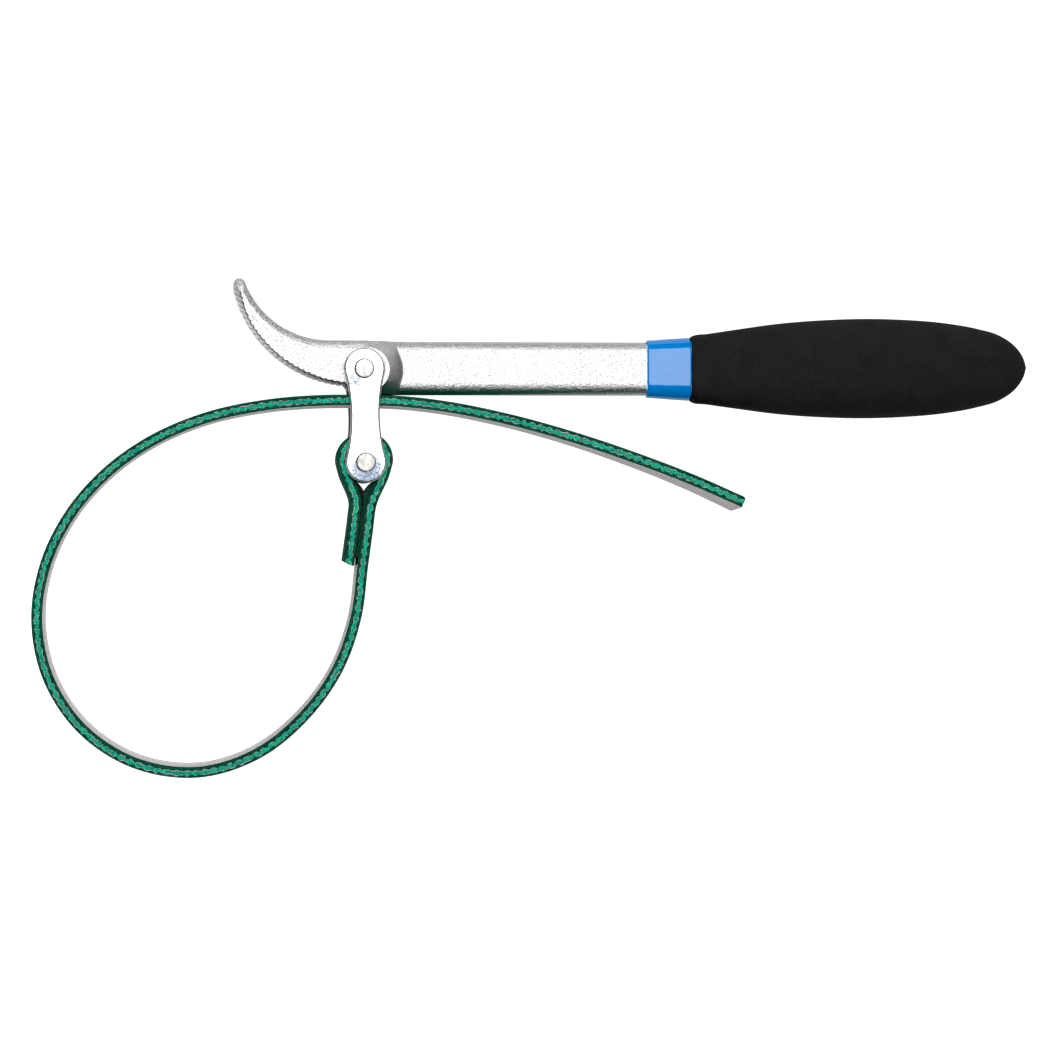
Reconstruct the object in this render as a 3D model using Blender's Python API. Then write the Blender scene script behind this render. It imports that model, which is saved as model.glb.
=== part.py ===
"""Oil filter strap wrench.

A forged steel lever with a toothed nose carries two link plates on a rivet.  A
laminated belt is looped round a spacer on the second rivet, runs round the filter,
comes back between the plates and leaves as a free tail.  The other end of the
lever is a tang inside a hard blue sleeve and a soft black grip.

Units are metres.  The tool lies flat: +X runs along the handle towards the grip, +Y
points away from the belt's loop and +Z is up.  The origin is on the pivot rivet's
axis, at the height of the surface that the tool lies on.
"""

import math

import bmesh
import bpy
from mathutils import Vector

# Stack height, along Z
GAP = 0.0003
PLATE_THICKNESS = 0.0025
PLATE_SPACING = 0.0260
STACK_HEIGHT = PLATE_SPACING + 2 * PLATE_THICKNESS
MID_HEIGHT = STACK_HEIGHT / 2

# Fineness: sides of a round piece, and how far a hole's cutter runs past its piece
ROUND_SIDES = 32
SPACER_SIDES = 40
BOSS_SIDES = 56
FILLET_SIDES = 44
SHARP_ANGLE = math.radians(35.0)
CUTTER_MARGIN = 0.0020
SAME_HEIGHT = 1e-6

# Links
PIVOT = (0.0, 0.0)
RIVET_SPACING = 0.0350
LINK_TILT = math.radians(0.9)
RIVET_DIAMETER = 0.0068
RIVET_CHAMFER = 0.0002
HOLE_RADIUS = RIVET_DIAMETER / 2 + GAP
PLATE_END_RADIUS = 0.0076
PLATE_WAIST = 0.0054
PLATE_EDGE_ROUNDING = 0.0005
SPACER_DIAMETER = 0.0100

# Lever
HANDLE_AXIS_Y = 0.0006
HEAD_DEPTH = PLATE_SPACING - 2 * GAP
BOSS_PROUD = 0.0001
NOSE_DEPTH = HEAD_DEPTH - 2 * BOSS_PROUD
SHANK_HEIGHT = 0.0202
SHANK_THICKNESS = 0.0100
SHANK_CORNER = 0.0026
SHANK_START = -0.0005
SHANK_END = 0.1066
TANG_HEIGHT = 0.0192
TANG_THICKNESS = 0.0088
TANG_CORNER = 0.0020
TANG_END = 0.2320
BOSS_CENTRE = (0.0014, -0.0003)
BOSS_RADIUS = 0.0083
BOSS_EDGE = 0.0003
UNDERSIDE_RADIUS = 0.0094

# Fillet from the boss to the shank: it starts inside the boss and ends inside the shank
FILLET_WIDTH = 0.0053
FILLET_START = BOSS_RADIUS - 0.0006
FILLET_SINK = 0.0002
FILLET_STEPS = 7
ENVELOPE_ENDS = (0.0003, 0.0170)
ENVELOPE_INSET = 0.00015
ENVELOPE_MARGIN = 0.0010
ENVELOPE_CORNER = 0.0040

# Nose: a blade between two arcs, joined by a round tip
JAW_CENTRE = (-0.0029, 0.0412)
JAW_RADIUS = 0.0473
BACK_CENTRE = (-0.0130, 0.0440)
BACK_RADIUS = 0.0334
TIP_CENTRE = (-0.0464, 0.0312)
FACE_TIP_CENTRE = (-0.0459, 0.0293)
FACE_TIP_TAPER = 0.0008
TAPER_START = 0.8
TOOTH_COUNT = 24
TOOTH_HEIGHT = 0.0007
NOSE_ROUNDING_DEPTH = 0.0030
NOSE_ROUNDING_AT_TIP = 0.0023
NOSE_ROUNDING_AT_BOSS = 0.0036
NOSE_ROUNDING_SWEEP = math.radians(60.0)
NOSE_ROUNDING_STEPS = 3
NOSE_BACK_STEPS = 20
TOOTH_CHAMFER = 0.0009

# Handle: a section is its half height, half thickness and corner radius
SLEEVE_START = 0.1069
COLLAR_END = 0.1232
SLEEVE_END = 0.2360
COLLAR_LIP = (0.0109, 0.0062, 0.0044)
COLLAR_FACE = (0.01195, 0.0070, 0.0048)
SLEEVE_CORE = (0.0108, 0.0062, 0.0040)
LIP_CHAMFER = 0.0003
GRIP_START = COLLAR_END + GAP
GRIP_END = 0.2522
GRIP_RISE = 0.0009
GRIP_SIDES = 32
GRIP_STEPS = 2
GRIP_POCKET_SQUARENESS = 5.0

# Belt
BELT_WIDTH = 0.0250
COVER_THICKNESS = 0.00115
CORE_THICKNESS = 0.00130
PLY_GAP = 0.0003
BELT_THICKNESS = 2 * COVER_THICKNESS + CORE_THICKNESS + 2 * PLY_GAP
EYE_OFFSET = (-0.0003, 0.0010)
EYE_INNER_RADIUS = 0.0063
EYE_FLANK_ANGLE = math.radians(26.0)
EYE_STOPS = 9
SPLICE_GAP = 0.0010
SPAN_STEPS = 4
BOND_THICKNESS = 0.0004
SHORT_END_SLANT = math.radians(20.0)

# Middle of the belt's edge, from the free tail's end round the loop and up to the splice
BELT_ROUTE = [
    (0.1425, -0.0499),
    (0.1230, -0.0414),
    (0.1030, -0.0338),
    (0.0790, -0.0258),
    (0.0530, -0.0187),
    (0.0290, -0.0140),
    (0.0120, -0.0122),
    (0.0000, -0.0119),
    (-0.0180, -0.0121),
    (-0.0360, -0.0137),
    (-0.0610, -0.0193),
    (-0.0807, -0.0282),
    (-0.0966, -0.0400),
    (-0.1091, -0.0547),
    (-0.1178, -0.0724),
    (-0.1212, -0.0931),
    (-0.1170, -0.1148),
    (-0.1043, -0.1340),
    (-0.0844, -0.1467),
    (-0.0610, -0.1499),
    (-0.0391, -0.1428),
    (-0.0221, -0.1289),
    (-0.0100, -0.1119),
    (-0.0032, -0.0927),
    (-0.0006, -0.0730),
    (0.0012, -0.0600),
    (0.0024, -0.0510),
]


def belt_rivet_place():
    """The belt rivet's axis in plan."""
    return Vector((math.sin(LINK_TILT), -math.cos(LINK_TILT))) * RIVET_SPACING


def clear_scene():
    for old in list(bpy.data.objects):
        bpy.data.objects.remove(old, do_unlink=True)


def make_material(name, colour, roughness, metallic):
    material = bpy.data.materials.new(name)
    material.use_nodes = True
    shader = material.node_tree.nodes["Principled BSDF"]
    shader.inputs["Base Color"].default_value = (*colour, 1.0)
    shader.inputs["Roughness"].default_value = roughness
    shader.inputs["Metallic"].default_value = metallic
    material.diffuse_color = (*colour, 1.0)
    return material


def satin_chrome():
    return make_material("satin_chrome", (0.80, 0.80, 0.81), 0.32, 1.0)


def zinc_plate():
    return make_material("zinc_plate", (0.84, 0.86, 0.90), 0.22, 1.0)


def rivet_steel():
    return make_material("rivet_steel", (0.78, 0.76, 0.72), 0.30, 1.0)


def spacer_steel():
    return make_material("spacer_steel", (0.62, 0.62, 0.63), 0.35, 1.0)


def blue_plastic():
    return make_material("blue_plastic", (0.01, 0.25, 0.72), 0.25, 0.0)


def black_rubber():
    return make_material("black_rubber", (0.012, 0.012, 0.012), 0.85, 0.0)


def green_cover():
    return make_material("green_cover", (0.010, 0.085, 0.050), 0.55, 0.0)


def teal_core():
    return make_material("teal_core", (0.020, 0.36, 0.22), 0.45, 0.0)


def black_adhesive():
    return make_material("black_adhesive", (0.008, 0.010, 0.010), 0.60, 0.0)


def add_object(name, shape, material, parent=None, location=(0, 0, 0)):
    """Turn a bmesh into a named, shaded object."""
    bmesh.ops.recalc_face_normals(shape, faces=shape.faces)
    mesh = bpy.data.meshes.new(name)
    shape.to_mesh(mesh)
    shape.free()
    mesh.shade_smooth()
    mesh.set_sharp_from_angle(angle=SHARP_ANGLE)
    if material is not None:
        mesh.materials.append(material)
    obj = bpy.data.objects.new(name, mesh)
    obj.location = location
    obj.parent = parent
    bpy.context.scene.collection.objects.link(obj)
    return obj


def add_empty(name, parent=None, location=(0, 0, 0), turn=0.0):
    empty = bpy.data.objects.new(name, None)
    empty.empty_display_size = 0.01
    empty.location = location
    empty.rotation_euler = (0, 0, turn)
    empty.parent = parent
    bpy.context.scene.collection.objects.link(empty)
    return empty


def join_rings(shape, near, far):
    """A band of faces between two equal rings of corners."""
    for i, corner in enumerate(near):
        after = (i + 1) % len(near)
        shape.faces.new((corner, near[after], far[after], far[i]))


def loft(sections):
    """Close a solid through a row of equal loops of points, capped at both ends."""
    shape = bmesh.new()
    rings = [[shape.verts.new(point) for point in section] for section in sections]
    for near, far in zip(rings, rings[1:]):
        join_rings(shape, near, far)
    shape.faces.new(reversed(rings[0]))
    shape.faces.new(rings[-1])
    return shape


def polar(centre, radius, angle):
    return (centre[0] + radius * math.cos(angle), centre[1] + radius * math.sin(angle))


def circle_points(centre, radius, count):
    return [polar(centre, radius, 2 * math.pi * i / count) for i in range(count)]


def stacked(outline, height):
    return [(x, y, height) for x, y in outline]


def arc_points(centre, radius, start, end, count):
    """Points along an arc, both ends included."""
    return [polar(centre, radius, start + (end - start) * i / (count - 1)) for i in range(count)]


def use_boolean(obj, other, operation):
    """Join, cut or keep with a helper body, which is hidden from the result."""
    modifier = obj.modifiers.new(operation.lower() + "_" + other.name, "BOOLEAN")
    modifier.operation = operation
    modifier.solver = "EXACT"
    modifier.object = other
    other.hide_render = True
    other.display_type = "WIRE"


# Links

def plate_outline():
    """Two round ends joined by hollow flanks, from the pivot end downwards."""
    half = RIVET_SPACING / 2
    spread = PLATE_END_RADIUS - PLATE_WAIST
    flank = (half ** 2 + PLATE_WAIST ** 2 - PLATE_END_RADIUS ** 2) / (2 * spread)
    touch = math.atan2(half, flank + PLATE_WAIST)
    outline = arc_points((0, 0), PLATE_END_RADIUS, -touch, math.pi + touch, 25)
    left = arc_points((-flank - PLATE_WAIST, -half), flank, touch, -touch, 9)
    low = arc_points((0, -RIVET_SPACING), PLATE_END_RADIUS, math.pi - touch, 2 * math.pi + touch, 25)
    right = arc_points((flank + PLATE_WAIST, -half), flank, math.pi + touch, math.pi - touch, 9)
    return outline + left[1:-1] + low + right[1:-1]


def make_plate(name, low, parent, material):
    """A link plate with a rounded edge and a hole for each rivet."""
    shape = loft([stacked(plate_outline(), low), stacked(plate_outline(), low + PLATE_THICKNESS)])
    rims = [e for e in shape.edges if abs(e.verts[0].co.z - e.verts[1].co.z) < SAME_HEIGHT]
    bmesh.ops.bevel(shape, geom=rims, offset=PLATE_EDGE_ROUNDING, segments=2, profile=0.5, affect="EDGES")
    plate = add_object(name, shape, material, parent)
    for label, drop in (("pivot", 0.0), ("belt", RIVET_SPACING)):
        hole = circle_points((0, -drop), HOLE_RADIUS, ROUND_SIDES)
        span = (low - CUTTER_MARGIN, low + PLATE_THICKNESS + CUTTER_MARGIN)
        cutter = add_object(f"{name}_{label}_hole", loft([stacked(hole, z) for z in span]), None, parent)
        use_boolean(plate, cutter, "DIFFERENCE")
    return plate


def make_rivet(name, parent, drop, material):
    """A plain rivet, its slightly chamfered ends flush with the plates."""
    radius = RIVET_DIAMETER / 2
    end_radius = radius - RIVET_CHAMFER
    levels = [(0, end_radius), (RIVET_CHAMFER, radius),
              (STACK_HEIGHT - RIVET_CHAMFER, radius), (STACK_HEIGHT, end_radius)]
    shape = loft([stacked(circle_points((0, 0), r, ROUND_SIDES), z) for z, r in levels])
    return add_object(name, shape, material, parent, (0, -drop, 0))


def make_spacer(parent, material):
    """The tube round the belt rivet that keeps the plates apart and carries the belt's eye."""
    low = PLATE_THICKNESS + GAP
    high = low + HEAD_DEPTH
    outer = SPACER_DIAMETER / 2
    shape = bmesh.new()
    rings = []
    for radius, z in ((outer, low), (outer, high), (HOLE_RADIUS, high), (HOLE_RADIUS, low)):
        circle = circle_points((0, 0), radius, SPACER_SIDES)
        rings.append([shape.verts.new(p) for p in stacked(circle, z)])
    for near, far in zip(rings, rings[1:] + rings[:1]):
        join_rings(shape, near, far)
    return add_object("spacer_tube", shape, material, parent, (0, -RIVET_SPACING, 0))


# Lever

def crossing(centre_a, radius_a, centre_b, radius_b):
    """Where two circles cross, on the left of the way from the first centre to the second."""
    first = Vector(centre_a)
    line = Vector(centre_b) - first
    apart = line.length
    along = (radius_a ** 2 - radius_b ** 2 + apart ** 2) / (2 * apart)
    aside = math.sqrt(radius_a ** 2 - along ** 2)
    forward = line / apart
    return first + forward * along + Vector((-forward.y, forward.x)) * aside


def direction(start, end):
    return math.atan2(end[1] - start[1], end[0] - start[0]) % (2 * math.pi)


def nose_outline(jaw_inset, back_inset, back_growth, share):
    """The nose in plan: round under the pivot, along the teeth, round the tip and back.

    The share is 0 at the nose's widest level, and 1 at its face, where the tip is sharper.
    """
    jaw_radius = JAW_RADIUS - jaw_inset
    back_radius = BACK_RADIUS + back_inset
    under_radius = UNDERSIDE_RADIUS - jaw_inset
    heel = crossing(PIVOT, under_radius, JAW_CENTRE, jaw_radius - TOOTH_HEIGHT)
    tip = Vector(TIP_CENTRE).lerp(Vector(FACE_TIP_CENTRE), share)
    tip_radius = (tip - Vector(BACK_CENTRE)).length - back_radius
    points = [(BOSS_CENTRE[0], -under_radius)]
    points += arc_points(PIVOT, under_radius, 1.5 * math.pi, direction(PIVOT, heel), 7)[:-1]
    first = direction(JAW_CENTRE, heel)
    last = direction(JAW_CENTRE, tip)
    samples = 4 * TOOTH_COUNT
    for i in range(samples + 1):
        across = 2 * ((i / 4) % 1.0) - 1
        taper = share * FACE_TIP_TAPER * max(0.0, (i / samples - TAPER_START) / (1 - TAPER_START)) ** 2
        radius = jaw_radius - TOOTH_HEIGHT * (1 - math.sqrt(1 - across ** 2)) - taper
        points.append(polar(JAW_CENTRE, radius, first + (last - first) * i / samples))
    back_start = direction(BACK_CENTRE, tip)
    points += arc_points(tip, tip_radius, last, back_start - math.pi, 9)[1:-1]
    for i in range(NOSE_BACK_STEPS + 1):
        share = i / NOSE_BACK_STEPS
        angle = back_start + (1.5 * math.pi - back_start) * share
        points.append(polar(BACK_CENTRE, back_radius + back_growth * share, angle))
    points.append((BOSS_CENTRE[0], points[-1][1]))
    return points


def nose_solid():
    """The nose at full depth, rounded along its back and chamfered at the ends of its teeth."""
    half = NOSE_DEPTH / 2
    sweep = NOSE_ROUNDING_SWEEP
    levels = []
    for i in range(NOSE_ROUNDING_STEPS + 1):
        angle = sweep * i / NOSE_ROUNDING_STEPS
        height = half - NOSE_ROUNDING_DEPTH * (1 - math.sin(angle) / math.sin(sweep))
        share = (1 - math.cos(angle)) / (1 - math.cos(sweep))
        levels.append((height, share))
    sections = []
    growth = NOSE_ROUNDING_AT_BOSS - NOSE_ROUNDING_AT_TIP
    for sign, order in ((-1, reversed(levels)), (1, levels)):
        for height, share in order:
            chamfer = max(0.0, TOOTH_CHAMFER - (half - height))
            outline = nose_outline(chamfer, NOSE_ROUNDING_AT_TIP * share, growth * share, share)
            sections.append(stacked(outline, MID_HEIGHT + sign * height))
    return loft(sections)


def rounded_rectangle(x, half_y, half_z, corner):
    """A section across the handle at x, with round corners."""
    points = []
    for turn, (side_y, side_z) in enumerate(((1, 1), (-1, 1), (-1, -1), (1, -1))):
        middle = (side_y * (half_y - corner), side_z * (half_z - corner))
        start = turn * math.pi / 2
        for y, z in arc_points(middle, corner, start, start + math.pi / 2, 5):
            points.append((x, HANDLE_AXIS_Y + y, MID_HEIGHT + z))
    return points


def shank_solid():
    """The bar from the boss to the sleeve, and the thinner tang inside the handle."""
    shank = (SHANK_HEIGHT / 2, SHANK_THICKNESS / 2, SHANK_CORNER)
    tang = (TANG_HEIGHT / 2, TANG_THICKNESS / 2, TANG_CORNER)
    places = [(SHANK_START, shank), (SHANK_END, shank), (SHANK_END, tang), (TANG_END, tang)]
    return loft([rounded_rectangle(x, *size) for x, size in places])


def boss_disc():
    """The round pivot boss, a little proud of the nose on both sides."""
    half = HEAD_DEPTH / 2
    levels = [(-half, BOSS_RADIUS - BOSS_EDGE), (BOSS_EDGE - half, BOSS_RADIUS),
              (half - BOSS_EDGE, BOSS_RADIUS), (half, BOSS_RADIUS - BOSS_EDGE)]
    return loft([stacked(circle_points(BOSS_CENTRE, r, BOSS_SIDES), MID_HEIGHT + z) for z, r in levels])


def boss_fillet():
    """The hollow fillet that falls from inside the boss to the shank on both sides."""
    top = HEAD_DEPTH / 2 - BOSS_EDGE
    drop = top - SHANK_THICKNESS / 2 + FILLET_SINK
    width = BOSS_RADIUS + FILLET_WIDTH - FILLET_START
    profile = []
    for i in range(FILLET_STEPS + 1):
        angle = math.pi / 2 * i / FILLET_STEPS
        profile.append((top - drop * math.sin(angle), FILLET_START + width * (1 - math.cos(angle))))
    levels = profile + [(-z, r) for z, r in reversed(profile)]
    return loft([stacked(circle_points(BOSS_CENTRE, r, FILLET_SIDES), MID_HEIGHT + z) for z, r in levels])


def boss_envelope():
    """The rounded bar that trims the fillet to the lever's height, right of the pivot."""
    size = (SHANK_HEIGHT / 2 - ENVELOPE_INSET, HEAD_DEPTH / 2 + ENVELOPE_MARGIN, ENVELOPE_CORNER)
    return loft([rounded_rectangle(x, *size) for x in ENVELOPE_ENDS])


def make_lever(material):
    lever = add_object("lever", nose_solid(), material)
    disc = add_object("lever_boss_disc", boss_disc(), material)
    fillet = add_object("lever_boss_fillet", boss_fillet(), material)
    envelope = add_object("lever_boss_envelope", boss_envelope(), None)
    shank = add_object("lever_shank", shank_solid(), material)
    bore = circle_points(PIVOT, HOLE_RADIUS, ROUND_SIDES)
    bore_ends = (-CUTTER_MARGIN, STACK_HEIGHT + CUTTER_MARGIN)
    cutter = add_object("lever_bore", loft([stacked(bore, z) for z in bore_ends]), None)
    use_boolean(fillet, envelope, "INTERSECT")
    use_boolean(lever, fillet, "UNION")
    use_boolean(lever, disc, "UNION")
    use_boolean(lever, shank, "UNION")
    use_boolean(lever, cutter, "DIFFERENCE")
    return lever


# Handle

def make_handle_sleeve(material):
    """The hard inner handle: a tapered collar that shows, and a core that the grip covers."""
    pocket = (TANG_HEIGHT / 2 + GAP, TANG_THICKNESS / 2 + GAP, TANG_CORNER + GAP)
    places = [
        (TANG_END + GAP, pocket),
        (SLEEVE_START, pocket),
        (SLEEVE_START, [size - LIP_CHAMFER for size in COLLAR_LIP]),
        (SLEEVE_START + LIP_CHAMFER, COLLAR_LIP),
        (COLLAR_END, COLLAR_FACE),
        (COLLAR_END, SLEEVE_CORE),
        (SLEEVE_END, SLEEVE_CORE),
    ]
    return add_object("handle_sleeve", loft([rounded_rectangle(x, *size) for x, size in places]), material)


def oval(x, half_y, half_z, squareness, axis_y=HANDLE_AXIS_Y):
    """A superellipse across the handle at x: squareness 2 is an ellipse."""
    points = []
    for i in range(GRIP_SIDES):
        angle = 2 * math.pi * i / GRIP_SIDES
        y = math.copysign(abs(math.cos(angle)) ** (2 / squareness), math.cos(angle))
        z = math.copysign(abs(math.sin(angle)) ** (2 / squareness), math.sin(angle))
        points.append((x, axis_y + half_y * y, MID_HEIGHT + half_z * z))
    return points


def smooth_through(points, steps):
    """A smooth curve through unevenly spaced points, with this many steps for each span.

    The spacing is measured on the points' first two values.
    """
    knots = [Vector(p) for p in points]
    lengths = [(b - a).xy.length for a, b in zip(knots, knots[1:])]
    slopes = [(b - a) / d for a, b, d in zip(knots, knots[1:], lengths)]
    inner = [(before * far + after * near) / (near + far)
             for before, after, near, far in zip(slopes, slopes[1:], lengths, lengths[1:])]
    tangents = [slopes[0]] + inner + [slopes[-1]]
    curve = []
    for i, length in enumerate(lengths):
        for j in range(steps):
            t = j / steps
            blend = t * t * (3 - 2 * t)
            leave = t * (1 - t) ** 2 * length
            arrive = t * t * (t - 1) * length
            curve.append(knots[i] * (1 - blend) + knots[i + 1] * blend
                         + tangents[i] * leave + tangents[i + 1] * arrive)
    curve.append(knots[-1])
    return curve


# Along the grip: place, half height, half thickness, squareness of the section
GRIP_STATIONS = [
    (GRIP_START, 0.0121, 0.0079, 2.9),
    (0.1245, 0.0126, 0.0084, 2.9),
    (0.1300, 0.01335, 0.0090, 2.8),
    (0.1400, 0.0148, 0.0106, 2.6),
    (0.1580, 0.0172, 0.0132, 2.4),
    (0.1740, 0.0184, 0.0148, 2.2),
    (0.1900, 0.01885, 0.0155, 2.2),
    (0.2060, 0.0184, 0.0152, 2.2),
    (0.2210, 0.0171, 0.0142, 2.2),
    (0.2330, 0.0150, 0.0126, 2.2),
    (0.2415, 0.0125, 0.0106, 2.1),
    (0.2480, 0.0081, 0.0070, 2.0),
    (0.2512, 0.0034, 0.0030, 2.0),
    (GRIP_END, 0.0003, 0.0003, 2.0),
]


def grip_axis(x):
    """The grip's own axis climbs a little, out to its tip."""
    return HANDLE_AXIS_Y + GRIP_RISE * (x - GRIP_START) / (GRIP_END - GRIP_START)


def make_grip(material):
    """The soft grip: a barrel with a blunt pointed end, and a pocket for the sleeve's core."""
    pocket = (SLEEVE_CORE[0] + GAP, SLEEVE_CORE[1] + GAP, GRIP_POCKET_SQUARENESS)
    sections = [oval(x, *pocket) for x in (SLEEVE_END + GAP, GRIP_START)]
    stations = smooth_through(GRIP_STATIONS, GRIP_STEPS)
    sections += [oval(*station, grip_axis(station[0])) for station in stations]
    return add_object("grip", loft(sections), material)


# Belt

def normals_along(curve):
    """Unit normals on the right-hand side of the way the curve runs: outwards on the loop."""
    normals = []
    for i in range(len(curve)):
        before = curve[max(i - 1, 0)]
        after = curve[min(i + 1, len(curve) - 1)]
        run = (after - before).normalized()
        normals.append(Vector((run.y, -run.x)))
    return normals


def eye_points():
    """The belt's middle line round the spacer, from the main run to the short end."""
    centre = belt_rivet_place() + Vector(EYE_OFFSET)
    radius = EYE_INNER_RADIUS + BELT_THICKNESS / 2
    return arc_points(centre, radius, -EYE_FLANK_ANGLE, math.pi + EYE_FLANK_ANGLE, EYE_STOPS)


def main_run():
    """The belt's middle line from the tail's end, round the loop and the eye."""
    return smooth_through(BELT_ROUTE + eye_points(), SPAN_STEPS)


def splice_run(shift):
    """The spliced stretch of the main run, from its low end up, moved sideways into the loop."""
    first = (len(BELT_ROUTE) - 3) * SPAN_STEPS
    last = (len(BELT_ROUTE) - 1) * SPAN_STEPS
    run = main_run()
    normals = normals_along(run)
    return [run[i] - normals[i] * shift for i in range(first, last)]


def belt_curve():
    """The belt's whole middle line, from the tail's end to the end of the short, spliced leg."""
    short_leg = splice_run(BELT_THICKNESS + SPLICE_GAP)[::-2]
    run = main_run()
    turn = smooth_through([eye_points()[-2], eye_points()[-1]] + short_leg[:2], SPAN_STEPS)
    return run + turn[SPAN_STEPS + 1:-SPAN_STEPS] + short_leg[1:]


def make_strip(name, inner, outer, curve, parent, material, end_slant=0.0):
    """A strip of the belt's width, between two offsets from a middle line in plan."""
    low = MID_HEIGHT - BELT_WIDTH / 2
    high = MID_HEIGHT + BELT_WIDTH / 2
    origin = belt_rivet_place()
    last = len(curve) - 1
    sections = []
    for i, (point, normal) in enumerate(zip(curve, normals_along(curve))):
        run = Vector((-normal.y, normal.x))
        slant = math.tan(end_slant) if i == last else 0.0
        near = point + (normal - run * slant) * inner - origin
        far = point + (normal - run * slant) * outer - origin
        sections.append([(*near, low), (*far, low), (*far, high), (*near, high)])
    return add_object(name, loft(sections), material, parent)


def make_belt(parent, cover, middle):
    """The laminate's three layers, with room between them for its woven plies."""
    curve = belt_curve()
    core = CORE_THICKNESS / 2
    face = BELT_THICKNESS / 2
    layers = [
        ("belt_inner_cover", -face, -core - PLY_GAP, cover),
        ("belt_core", -core, core, middle),
        ("belt_outer_cover", core + PLY_GAP, face, cover),
    ]
    for name, inner, outer, material in layers:
        make_strip(name, inner, outer, curve, parent, material, SHORT_END_SLANT)


def make_splice_bond(parent):
    """The line of adhesive that holds the short end against the main run."""
    middle = splice_run((BELT_THICKNESS + SPLICE_GAP) / 2)
    half = BOND_THICKNESS / 2
    make_strip("splice_bond", -half, half, middle, parent, black_adhesive())


def main():
    clear_scene()
    chrome = satin_chrome()
    plate_zinc = zinc_plate()
    rivet_metal = rivet_steel()
    make_lever(chrome)
    make_handle_sleeve(blue_plastic())
    make_grip(black_rubber())
    link_pivot = add_empty("link_pivot", turn=LINK_TILT)
    make_plate("rear_link_plate", 0.0, link_pivot, plate_zinc)
    make_plate("front_link_plate", STACK_HEIGHT - PLATE_THICKNESS, link_pivot, plate_zinc)
    make_rivet("pivot_rivet", link_pivot, 0.0, rivet_metal)
    make_rivet("belt_rivet", link_pivot, RIVET_SPACING, rivet_metal)
    make_spacer(link_pivot, spacer_steel())
    belt_pivot = add_empty("belt_pivot", location=(*belt_rivet_place(), 0))
    make_belt(belt_pivot, green_cover(), teal_core())
    make_splice_bond(belt_pivot)


main()
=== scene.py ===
"""Looks of the oil filter strap wrench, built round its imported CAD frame.

Units are metres, in the CAD's own frame: +X along the handle, +Z up from the floor that
the tool lies on.  Every visible piece is modelled here at a finer step than its CAD
solid, in the space that the solid holds, and rides on the solid's body.
"""

import math

import bmesh
import bpy
import numpy as np
from mathutils import Matrix, Vector


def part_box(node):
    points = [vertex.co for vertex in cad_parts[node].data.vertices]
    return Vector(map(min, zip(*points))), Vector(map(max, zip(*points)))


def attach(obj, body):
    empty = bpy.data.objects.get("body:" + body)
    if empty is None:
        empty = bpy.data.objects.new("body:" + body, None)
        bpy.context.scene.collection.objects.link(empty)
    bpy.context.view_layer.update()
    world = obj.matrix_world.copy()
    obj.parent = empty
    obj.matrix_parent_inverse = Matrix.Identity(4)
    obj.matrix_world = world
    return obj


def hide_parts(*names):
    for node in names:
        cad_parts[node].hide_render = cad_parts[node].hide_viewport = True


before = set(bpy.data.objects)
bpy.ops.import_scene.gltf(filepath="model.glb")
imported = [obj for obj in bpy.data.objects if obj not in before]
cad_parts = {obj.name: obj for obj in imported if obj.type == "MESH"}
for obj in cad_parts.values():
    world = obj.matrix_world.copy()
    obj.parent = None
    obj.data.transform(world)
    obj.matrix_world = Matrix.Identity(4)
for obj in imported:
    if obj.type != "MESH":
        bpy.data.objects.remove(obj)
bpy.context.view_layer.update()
MM = 0.001


def middle(node):
    """The middle of a CAD node's box."""
    low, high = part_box(node)
    return (low + high) / 2


# Places and sizes that the frame gives
PIVOT = middle("pivot_rivet")
BELT_PIN = middle("belt_rivet")
STACK_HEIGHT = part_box("pivot_rivet")[1].z
MID_HEIGHT = STACK_HEIGHT / 2
PLATE_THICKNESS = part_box("rear_link_plate")[1].z
RIVET_RADIUS = (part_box("pivot_rivet")[1].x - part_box("pivot_rivet")[0].x) / 2
LINK_TILT = math.atan2(BELT_PIN.x - PIVOT.x, PIVOT.y - BELT_PIN.y)
RIVET_SPACING = (BELT_PIN - PIVOT).length
AXIS_Y = middle("handle_sleeve").y
SLEEVE_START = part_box("handle_sleeve")[0].x
GRIP_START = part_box("grip")[0].x
GRIP_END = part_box("grip")[1].x
BELT_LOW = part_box("belt_core")[0].z
BELT_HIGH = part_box("belt_core")[1].z
HEAD_HALF = (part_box("lever")[1].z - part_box("lever")[0].z) / 2

# The clearance that touching pieces keep, how far a cutter overshoots, and a round piece's sides
FIT_GAP = 0.0003
CUTTER_MARGIN = 0.0010
ROUND_SIDES = 96


# ---------------------------------------------------------------- node materials

class Nodes:
    """A node tree under construction."""

    def __init__(self, tree):
        self.tree = tree

    def node(self, kind, **settings):
        made = self.tree.nodes.new(kind)
        for key, value in settings.items():
            setattr(made, key, value)
        return made

    def link(self, source, target):
        self.tree.links.new(source, target)

    def feed(self, socket, value):
        """Give a socket a colour, a number or another node's output."""
        if isinstance(value, tuple):
            socket.default_value = (*value, 1.0)
        elif isinstance(value, (int, float)):
            socket.default_value = value
        else:
            self.link(value, socket)

    def math(self, operation, *values, clamp=False):
        made = self.node("ShaderNodeMath", operation=operation, use_clamp=clamp)
        for socket, value in zip(made.inputs, values):
            self.feed(socket, value)
        return made.outputs["Value"]

    def parts(self, source):
        """The X, Y and Z of a vector."""
        made = self.node("ShaderNodeSeparateXYZ")
        self.link(source, made.inputs[0])
        return made.outputs

    def rise(self, source, start, end, high):
        """A smooth rise from 0 to high as the source goes from start to end."""
        made = self.node("ShaderNodeMapRange", interpolation_type="SMOOTHSTEP")
        self.link(source, made.inputs["Value"])
        for socket, value in (("From Min", start), ("From Max", end), ("To Min", 0.0), ("To Max", high)):
            made.inputs[socket].default_value = value
        return made.outputs["Result"]


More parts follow.
